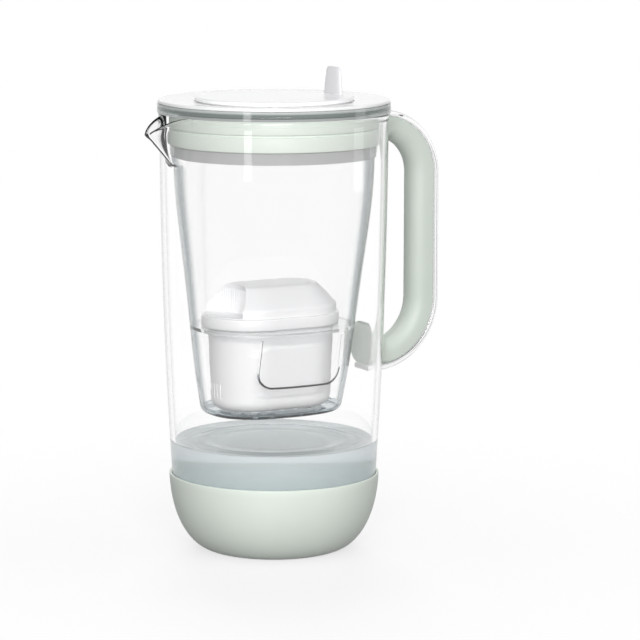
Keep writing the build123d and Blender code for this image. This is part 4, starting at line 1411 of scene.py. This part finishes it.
# %% Cartridge rings
def stadium_ring(inset, height, panel=0.0, per_end=28, per_side=40):
    """One ring of the cartridge's plan, inset from the flange's edge."""
    radius, straight = CARTRIDGE_SHORT - inset, CARTRIDGE_LONG - CARTRIDGE_SHORT
    ring = []
    for side in (1, -1):
        for step in range(per_end):
            turn = pi * step / per_end - pi / 2
            ring.append((side * (straight + radius * cos(turn)), side * radius * sin(turn)))
        for step in range(per_side):
            along = straight - 2 * straight * step / per_side
            ring.append((side * along, side * radius))
    return [
        (CARTRIDGE_MIDDLE + x, y + copysign(panel * panel_share(x, height), y), height) for x, y in ring
    ]


def cup_inset(height):
    """The side's inset, which the draft makes larger towards the foot."""
    return CUP_INSET + CUP_DRAW * (LEDGE_TOP - height) / (LEDGE_TOP - CUP_FOOT)


def cup_rings():
    """The foot, the sides, the flange and its mouth, and the inside down to the screen."""
    rings = [[(CARTRIDGE_MIDDLE, 0, CUP_FOOT)]]
    for turn in [0, *spread(0, pi / 2, 8)]:
        height = CUP_FOOT + CUP_ROUND * (1 - cos(turn))
        rings.append(stadium_ring(cup_inset(height) + CUP_ROUND * (1 - sin(turn)), height))
    side_levels = spread(CUP_FOOT + CUP_ROUND, LEDGE_TOP - TOUCH_GAP, 60)
    rings += [stadium_ring(cup_inset(z), z, PANEL_PROUD) for z in side_levels]
    flange = rounded(
        [
            (0.0, LEDGE_TOP + TOUCH_GAP, 1.0),
            (0.0, CARTRIDGE_TOP, 0.8),
            (MOUTH_INSET, CARTRIDGE_TOP, 0.4),
            (MOUTH_INSET, FLANGE_FLOOR, 0.2),
            (MOUTH_INSET + 1, FLANGE_FLOOR, 0.2),
            (MOUTH_INSET + 1, LEDGE_TOP, 0),
        ],
        4,
    )
    rings += [stadium_ring(inset, height) for inset, height in flange[:-1]]
    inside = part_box("lower_screen")[0].z / MM - TOUCH_GAP
    rings += [stadium_ring(cup_inset(z) + CUP_WALL, z) for z in (LEDGE_TOP - 6, inside)]
    return [*rings, [(CARTRIDGE_MIDDLE, 0, inside)]]


print("cartridge flange:", round(2 * CARTRIDGE_LONG, 1), "x", round(2 * CARTRIDGE_SHORT, 1), "mm")

# %% [markdown]
# The cup's outlets are rows of narrow upright slots in its two round ends. An Array modifier could
# space them out. A row is a repeated thing, so a second tree makes it, with its count and pitch as
# inputs: a line of points, a small block on each, all made real. The row is then taken out of the cup
# as one cutter, and the same tree makes the grille in the cap further down.

# %% Slot rows
row_tree, given, result = new_tree(
    "slot_row",
    [
        ("Count", WHOLE, 5),
        ("Pitch", FLOAT, 0.003),
        ("Start", VECTOR, (0, 0, 0)),
        ("Size", VECTOR, (1, 1, 1)),
    ],
)
pitch = add(row_tree, "ShaderNodeCombineXYZ", {"Y": given.outputs["Pitch"]})
points = add(
    row_tree,
    "GeometryNodeMeshLine",
    {
        "Count": given.outputs["Count"],
        "Start Location": given.outputs["Start"],
        "Offset": pitch.outputs["Vector"],
    },
)
slot = add(row_tree, "GeometryNodeMeshCube", {"Size": given.outputs["Size"]})
blocks = add(
    row_tree,
    "GeometryNodeInstanceOnPoints",
    {"Points": points.outputs["Mesh"], "Instance": slot.outputs["Mesh"]},
)
end_tree(row_tree, blocks.outputs["Instances"], white_polypropylene, result)


def slot_row(name, count, pitch, middle, size):
    """Blocks of a size in mm, set along Y about a middle point."""
    start = (middle[0] * MM, (middle[1] - pitch * (count - 1) / 2) * MM, middle[2] * MM)
    return grown(
        name,
        bpy.data.meshes.new(name),
        row_tree,
        {"Count": count, "Pitch": pitch * MM, "Start": start, "Size": [side * MM for side in size]},
    )


# %% Cup with its outlets
OUTLETS, OUTLET_PITCH = 5, 3.2
OUTLET_SIZE = (2.4, 0.9, 9.0)
OUTLET_LEVEL = CUP_FOOT + 12
OUTLET_REACH = CARTRIDGE_LONG - cup_inset(OUTLET_LEVEL)
outlet_rows = [
    slot_row(
        "outlets",
        OUTLETS,
        OUTLET_PITCH,
        (CARTRIDGE_MIDDLE + side * OUTLET_REACH, 0, OUTLET_LEVEL),
        OUTLET_SIZE,
    )
    for side in (-1, 1)
]
cup_mesh = with_cuts(stacked("cup_skin", cup_rings()), outlet_rows)
finished("cup_skin", cup_mesh, "cartridge", ["cartridge_cup"], "white_satin", white_polypropylene)

# %% [markdown]
# ## The cartridge's cap
# A loaf-shaped dome with an upright skirt. One end is scooped out, so that water finds its way in: the
# scoop has a fluted back and a grille in its floor, and there are small vents on top. The scoop could be
# pulled into the rings, but its edge would blur. A round cutter leaves it crisp, as the mould's core
# does. The flutes stand side by side along the scoop's arc, which is a third tree: an arc, and a rib on
# each of its points.

# %% Cartridge cap
CAP_TOP = top_of("cartridge_cap")
CAP_INSET, CAP_SKIRT, CAP_DRAW, CAP_EDGE = 1.5, 5.0, 13.0, 6.0
SCOOP_MIDDLE, SCOOP_SIDE, SCOOP_RADIUS = -49.0, -3.0, 25.0
SCOOP_FLOOR = CARTRIDGE_TOP + 0.7


def cap_rings():
    """The dome from its underside in the cup's mouth to the middle of its top."""
    low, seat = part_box("cartridge_cap")[0].z / MM, CARTRIDGE_TOP + TOUCH_GAP
    plug, top_inset = MOUTH_INSET + TOUCH_GAP, CAP_INSET + CAP_DRAW
    outline = rounded(
        [
            (plug, low, 0.3),
            (plug, seat, 0.1),
            (CAP_INSET, seat, 0.3),
            (CAP_INSET, CARTRIDGE_TOP + CAP_SKIRT, 3.0),
            (top_inset, CAP_TOP, CAP_EDGE),
            (top_inset + 8, CAP_TOP, 0),
        ],
        8,
    )
    sides = [stadium_ring(inset, height) for inset, height in outline]
    return [[(CARTRIDGE_MIDDLE, 0, low)], *sides, [(CARTRIDGE_MIDDLE, 0, CAP_TOP)]]


def rod(x, y, radius, low, high, count=96):
    """An upright closed cylinder."""
    ends = [[(x + radius * c, y + radius * s, height) for c, s in circle(count)] for height in (low, high)]
    return stacked("rod", [[(x, y, low)], *ends, [(x, y, high)]])


dome = stacked("cap_skin", cap_rings())
print("cap:", len(dome.polygons), "faces before the scoop is cut")


# %% Flutes
FLUTES, FLUTE_RADIUS, FLUTE_SPAN = 27, 0.32, radians(52)
FLUTE_TOP = CAP_TOP - 3.0
FLUTE_MIDDLE = (SCOOP_MIDDLE, SCOOP_SIDE, (FLUTE_TOP + SCOOP_FLOOR) / 2)

flute_tree, given, result = new_tree(
    "flutes_on_arc",
    [
        ("Count", WHOLE, 9),
        ("Arc radius", FLOAT, 0.02),
        ("Half span", FLOAT, 0.9),
        ("Rib radius", FLOAT, 0.0005),
        ("Height", FLOAT, 0.01),
        ("Middle", VECTOR, (0, 0, 0)),
    ],
)
half_span = given.outputs["Half span"]
back = add(flute_tree, "ShaderNodeMath", {0: half_span, 1: -1.0}, operation="MULTIPLY")
whole = add(flute_tree, "ShaderNodeMath", {0: half_span, 1: 2.0}, operation="MULTIPLY")
arc = add(
    flute_tree,
    "GeometryNodeCurveArc",
    {
        "Resolution": given.outputs["Count"],
        "Radius": given.outputs["Arc radius"],
        "Start Angle": back.outputs["Value"],
        "Sweep Angle": whole.outputs["Value"],
    },
)
rib = add(
    flute_tree,
    "GeometryNodeMeshCylinder",
    {"Vertices": 10, "Radius": given.outputs["Rib radius"], "Depth": given.outputs["Height"]},
)
ribs = add(
    flute_tree,
    "GeometryNodeInstanceOnPoints",
    {"Points": arc.outputs["Curve"], "Instance": rib.outputs["Mesh"]},
)
moved = add(
    flute_tree,
    "GeometryNodeTransform",
    {"Geometry": ribs.outputs["Instances"], "Translation": given.outputs["Middle"]},
)
end_tree(flute_tree, moved.outputs["Geometry"], white_polypropylene, result)

flutes = grown(
    "flutes",
    bpy.data.meshes.new("flutes"),
    flute_tree,
    {
        "Count": FLUTES,
        "Arc radius": SCOOP_RADIUS * MM,
        "Half span": FLUTE_SPAN,
        "Rib radius": FLUTE_RADIUS * MM,
        "Height": (FLUTE_TOP - SCOOP_FLOOR) * MM,
        "Middle": [side * MM for side in FLUTE_MIDDLE],
    },
)

# %% Cap
GRILLE_SLOTS, GRILLE_PITCH = 7, 3.4
GRILLE_MIDDLE = (-33.0, SCOOP_SIDE, SCOOP_FLOOR)
GRILLE_SIZE = (9.0, 1.2, 3.0)
VENT_RADIUS, VENT_DEPTH = 1.2, 1.5
VENT_PLACES = ((-12, -8), (4, 7), (19, -8))

flutes = with_cuts(flutes, [dome.copy()], "INTERSECT")
scoop = rod(SCOOP_MIDDLE, SCOOP_SIDE, SCOOP_RADIUS, SCOOP_FLOOR, CAP_TOP + 5)
grille = slot_row("grille", GRILLE_SLOTS, GRILLE_PITCH, GRILLE_MIDDLE, GRILLE_SIZE)
vents = [rod(x, y, VENT_RADIUS, CAP_TOP - VENT_DEPTH, CAP_TOP + 1, 24) for x, y in VENT_PLACES]
cap_mesh = joined([with_cuts(dome, [scoop, grille, *vents]), flutes])
finished(
    "cap_skin", cap_mesh, "cartridge", ["cartridge_cap"], "white_satin", white_polypropylene, sharp=35
)

# %% [markdown]
# ## The funnel
# The funnel is one clear moulding with six kinds of surface: a polished wall, a thick flange, a satin
# shoulder, a narrow raised line on its side, level plates, and a heavy floor. It could be modelled
# again, but the frame's shape is right but for its waist. So a copy of the frame's mesh is taken, its
# loose triangles are welded with their own normals kept, its waist is drawn in a little, and each face
# gets the finish of where it lies.

# %% Funnel
HOPPER_NECK = COLLAR_RADIUS - 2.5
HOPPER_END = (42.6, 31.5)
HOPPER_SHIFT = -2.0
WINDOW_SPAN = (HOPPER_TOP - 137.0, HOPPER_TOP - 104.0)
WINDOW_LEFT = 0.0
WINDOW_FOOT = WINDOW_SPAN[0] + 8
WAIST = 0.036


def welded(node):
    """A copy of a node's mesh with its triangles joined, and its normals as they were."""
    source = nodes[node].data
    order, points, faces = {}, [], []
    for polygon in source.polygons:
        face = []
        for corner in polygon.vertices:
            place = source.vertices[corner].co
            key = tuple(round(c * 1e6) for c in place)
            if key not in order:
                order[key] = len(points)
                points.append(tuple(place))
            face.append(order[key])
        faces.append(face)
    normals = [tuple(n.vector) for n in source.corner_normals]
    mesh = bpy.data.meshes.new(node + "_copy")
    mesh.from_pydata(points, [], faces)
    mesh.shade_smooth()
    mesh.normals_split_custom_set(normals)
    return mesh


def outside_hopper(x, y, z):
    """How far a point lies outside the hopper's oval, as a share: 0 is on it."""
    share = max(0.0, min(1.0, (HOPPER_TOP - z) / HOPPER_DEPTH))
    drawn = share**1.5
    half_long = HOPPER_NECK - (HOPPER_NECK - HOPPER_END[0]) * drawn
    half_short = HOPPER_NECK - (HOPPER_NECK - HOPPER_END[1]) * drawn
    power = 2 + 0.5 * share
    across = abs(x - HOPPER_SHIFT * drawn) / half_long
    return (across**power + (abs(y) / half_short) ** power) ** (1 / power) - 1


def drawn_in(mesh):
    """Draw the funnel's wall in at its waist, where the photograph shows it a little slimmer."""
    for vertex in mesh.vertices:
        x, y, z = (c / MM for c in vertex.co)
        if z < HOPPER_TOP and outside_hopper(x, y, z) > -0.12:
            share = (HOPPER_TOP - z) / HOPPER_DEPTH
            slimmer = 1 - WAIST * sin(pi * min(1.0, share)) ** 2
            vertex.co.x *= slimmer
            vertex.co.y *= slimmer


# %% Funnel finishes
FUNNEL_FINISHES = (
    clear_copolyester,
    thick_copolyester,
    satin_copolyester,
    ridge_painted_shade,
    level_copolyester,
    floor_copolyester,
)
WALL, FLANGE, SHOULDER, RIDGE, LEVEL, FLOOR = range(len(FUNNEL_FINISHES))


def funnel_finish(centre, highest):
    """The finish of a face, from its centre and the height of its highest corner."""
    x, y, z = (c / MM for c in centre)
    if z > JUG_HEIGHT - 0.01 and hypot(x, y) > HOPPER_NECK - 0.5:
        return FLANGE
    if HOPPER_TOP - 0.01 < z < COLLAR_LOW + 0.01:
        return SHOULDER
    outside = outside_hopper(x, y, z)
    if y < -20 and WINDOW_SPAN[0] < z < WINDOW_SPAN[1] and outside > 0.003:
        return RIDGE if x > WINDOW_LEFT or z < WINDOW_FOOT else LEVEL
    if LEDGE_UNDER - TOUCH_GAP < z < LEDGE_TOP + TOUCH_GAP and outside < -0.03:
        return LEVEL
    return FLOOR if highest < HOPPER_FLOOR + 3.0 else WALL


# %% Funnel with its finishes
funnel_mesh = welded("funnel_hopper")
drawn_in(funnel_mesh)
finished(
    "funnel_skin", funnel_mesh, "funnel", ["funnel_hopper"], "clear_plastic", *FUNNEL_FINISHES, sharp=None
)
heights = [vertex.co.z / MM for vertex in funnel_mesh.vertices]
finishes = [
    funnel_finish(polygon.center, max(heights[corner] for corner in polygon.vertices))
    for polygon in funnel_mesh.polygons
]
funnel_mesh.polygons.foreach_set("material_index", finishes)
print("faces of each finish:", [finishes.count(i) for i in range(len(FUNNEL_FINISHES))])

# %% [markdown]
# ## Finishes for the pieces that stay as the frame has them
# The screens, the bed and the pin already have their true shape in the frame. They could be copied and
# remodelled, but nothing would be won, so they only get their materials.

# %% Frame pieces
FINISHES = {
    "upper_screen": polyester_screen,
    "filter_media": carbon_and_resin,
    "lower_screen": polyester_screen,
    "hinge_pin": drawn_stainless_steel,
}
for name, material in FINISHES.items():
    slots = nodes[name].data.materials
    slots.clear()
    slots.append(material)
    print(name, "gets", material.name)

# %% [markdown]
# ## Studio
# The photograph is high key: a white ground that runs into a white wall, one large soft box at the
# front and one behind, and two tall narrow ones that leave upright streaks on the flange. The white is
# the floor's and the world's own, seen by the camera, by glossy rays and through glass. The object
# itself is lit at a plain level.

# %% World
SKY_TOP, SKY_SIDE, CEILING = "#FCFCFD", "#2A2C2E", "#6E7274"
world = bpy.data.worlds.new("studio")
scene.world = world
world.use_nodes = True
world.node_tree.nodes.clear()


def seen_through(tree, path):
    """1 for glossy rays and rays through glass, which see the white that the camera sees."""
    either = add(
        tree,
        "ShaderNodeMath",
        {0: path.outputs["Is Glossy Ray"], 1: path.outputs["Is Transmission Ray"]},
        operation="MAXIMUM",
    )
    return either.outputs["Value"]


def studio_world(tree):
    """White for the camera, a bright wall through glass, and a plain soft sky as light."""
    output = add(tree, "ShaderNodeOutputWorld")
    place = add(tree, "ShaderNodeTexCoord")
    split = add(tree, "ShaderNodeSeparateXYZ", {"Vector": place.outputs["Generated"]})
    lit = add(tree, "ShaderNodeValToRGB", {"Fac": split.outputs["Z"]}, [(0.42, SKY_SIDE), (1.0, SKY_TOP)])
    wall = add(
        tree, "ShaderNodeValToRGB", {"Fac": split.outputs["Z"]}, [(0.30, "#FFFFFF"), (0.75, CEILING)]
    )
    path = add(tree, "ShaderNodeLightPath")
    seen = add(tree, "ShaderNodeMix", {"Factor": seen_through(tree, path)}, data_type="RGBA")
    tree.links.new(lit.outputs["Color"], seen.inputs[6])
    tree.links.new(wall.outputs["Color"], seen.inputs[7])
    shown = add(tree, "ShaderNodeMix", {"Factor": path.outputs["Is Camera Ray"]}, data_type="RGBA")
    tree.links.new(seen.outputs[2], shown.inputs[6])
    shown.inputs[7].default_value = (1, 1, 1, 1)
    light = add(tree, "ShaderNodeBackground", {"Color": shown.outputs[2], "Strength": 1.0})
    tree.links.new(light.outputs["Background"], output.inputs["Surface"])


studio_world(world.node_tree)
print("world:", len(world.node_tree.nodes), "nodes")

# %% Floor
FLOOR_HALF = 3.0
GLOW_NEAR, GLOW_FAR = 0.10, 0.42


def studio_floor():
    """White near the object, where it takes a soft shadow, and the world's own white further out."""
    material, tree, output = new_material("white_floor")
    place = add(tree, "ShaderNodeTexCoord")
    away = add(tree, "ShaderNodeVectorMath", {0: place.outputs["Object"]}, operation="LENGTH")
    glow_share = add(
        tree,
        "ShaderNodeMapRange",
        {
            "Value": away.outputs["Value"],
            "From Min": GLOW_NEAR,
            "From Max": GLOW_FAR,
            "To Min": 0.70,
            "To Max": 1.0,
        },
        interpolation_type="SMOOTHSTEP",
    )
    near = add(tree, "ShaderNodeBsdfDiffuse", {"Color": (0.9, 0.9, 0.9, 1)})
    glow = add(tree, "ShaderNodeEmission", {"Color": (1, 1, 1, 1), "Strength": 1.0})
    dim = add(tree, "ShaderNodeBsdfDiffuse", {"Color": (0.12, 0.12, 0.12, 1)})
    path = add(tree, "ShaderNodeLightPath")
    seen = add(
        tree,
        "ShaderNodeMath",
        {0: path.outputs["Is Camera Ray"], 1: seen_through(tree, path)},
        operation="MAXIMUM",
    )
    white = add(
        tree,
        "ShaderNodeMixShader",
        {0: glow_share.outputs["Result"], 1: near.outputs["BSDF"], 2: glow.outputs["Emission"]},
    )
    mix = add(
        tree,
        "ShaderNodeMixShader",
        {0: seen.outputs["Value"], 1: dim.outputs["BSDF"], 2: white.outputs["Shader"]},
    )
    tree.links.new(mix.outputs["Shader"], output.inputs["Surface"])
    return material


corners = [(x * FLOOR_HALF, y * FLOOR_HALF, 0) for x, y in ((-1, -1), (1, -1), (1, 1), (-1, 1))]
floor_mesh = bpy.data.meshes.new("floor")
floor_mesh.from_pydata(corners, [], [(0, 1, 2, 3)])
floor_mesh.materials.append(studio_floor())
studio_ground = bpy.data.objects.new("studio_ground", floor_mesh)
scene.collection.objects.link(studio_ground)
print("floor:", 2 * FLOOR_HALF, "m square")

# %% Lamps
AIM_HEIGHT = 0.15


def soft_box(name, azimuth, distance, height, size, power):
    """A soft box. Azimuth is measured round from the camera's side, in degrees to its right.

    It isn't seen through the glass, because its light already comes through there by itself.
    """
    data = bpy.data.lights.new(name, "AREA")
    data.shape = "RECTANGLE"
    data.size, data.size_y = size
    data.energy = power
    lamp = bpy.data.objects.new(name, data)
    lamp.visible_transmission = False
    lamp.visible_camera = False
    scene.collection.objects.link(lamp)
    turn = VIEW_TURN + radians(azimuth)
    lamp.location = (sin(turn) * distance, -cos(turn) * distance, height)
    aim = Vector((0, 0, AIM_HEIGHT)) - lamp.location
    lamp.rotation_euler = aim.to_track_quat("-Z", "Y").to_euler()
    print(name, power, "W")
    return lamp


LARGE, TALL, TALL_WIDE = (1.4, 1.0), (0.18, 0.6), (0.30, 0.6)
soft_box("front_box", azimuth=3, distance=2.6, height=0.90, size=LARGE, power=67.0)
rear_box = soft_box("rear_box", azimuth=183, distance=2.6, height=0.90, size=LARGE, power=60.0)
soft_box("left_strip", azimuth=-25.3, distance=1.3, height=0.36, size=TALL, power=1.5)
soft_box("right_strip", azimuth=92, distance=1.2, height=0.36, size=TALL_WIDE, power=0.9)
# The level lid would mirror the rear box and lose its own shape in the glare.
rear_box.visible_glossy = False

# %% Colours as written
# The Standard view shows a colour as it is written. The default one would soften and grey it.
scene.view_settings.view_transform = "Standard"
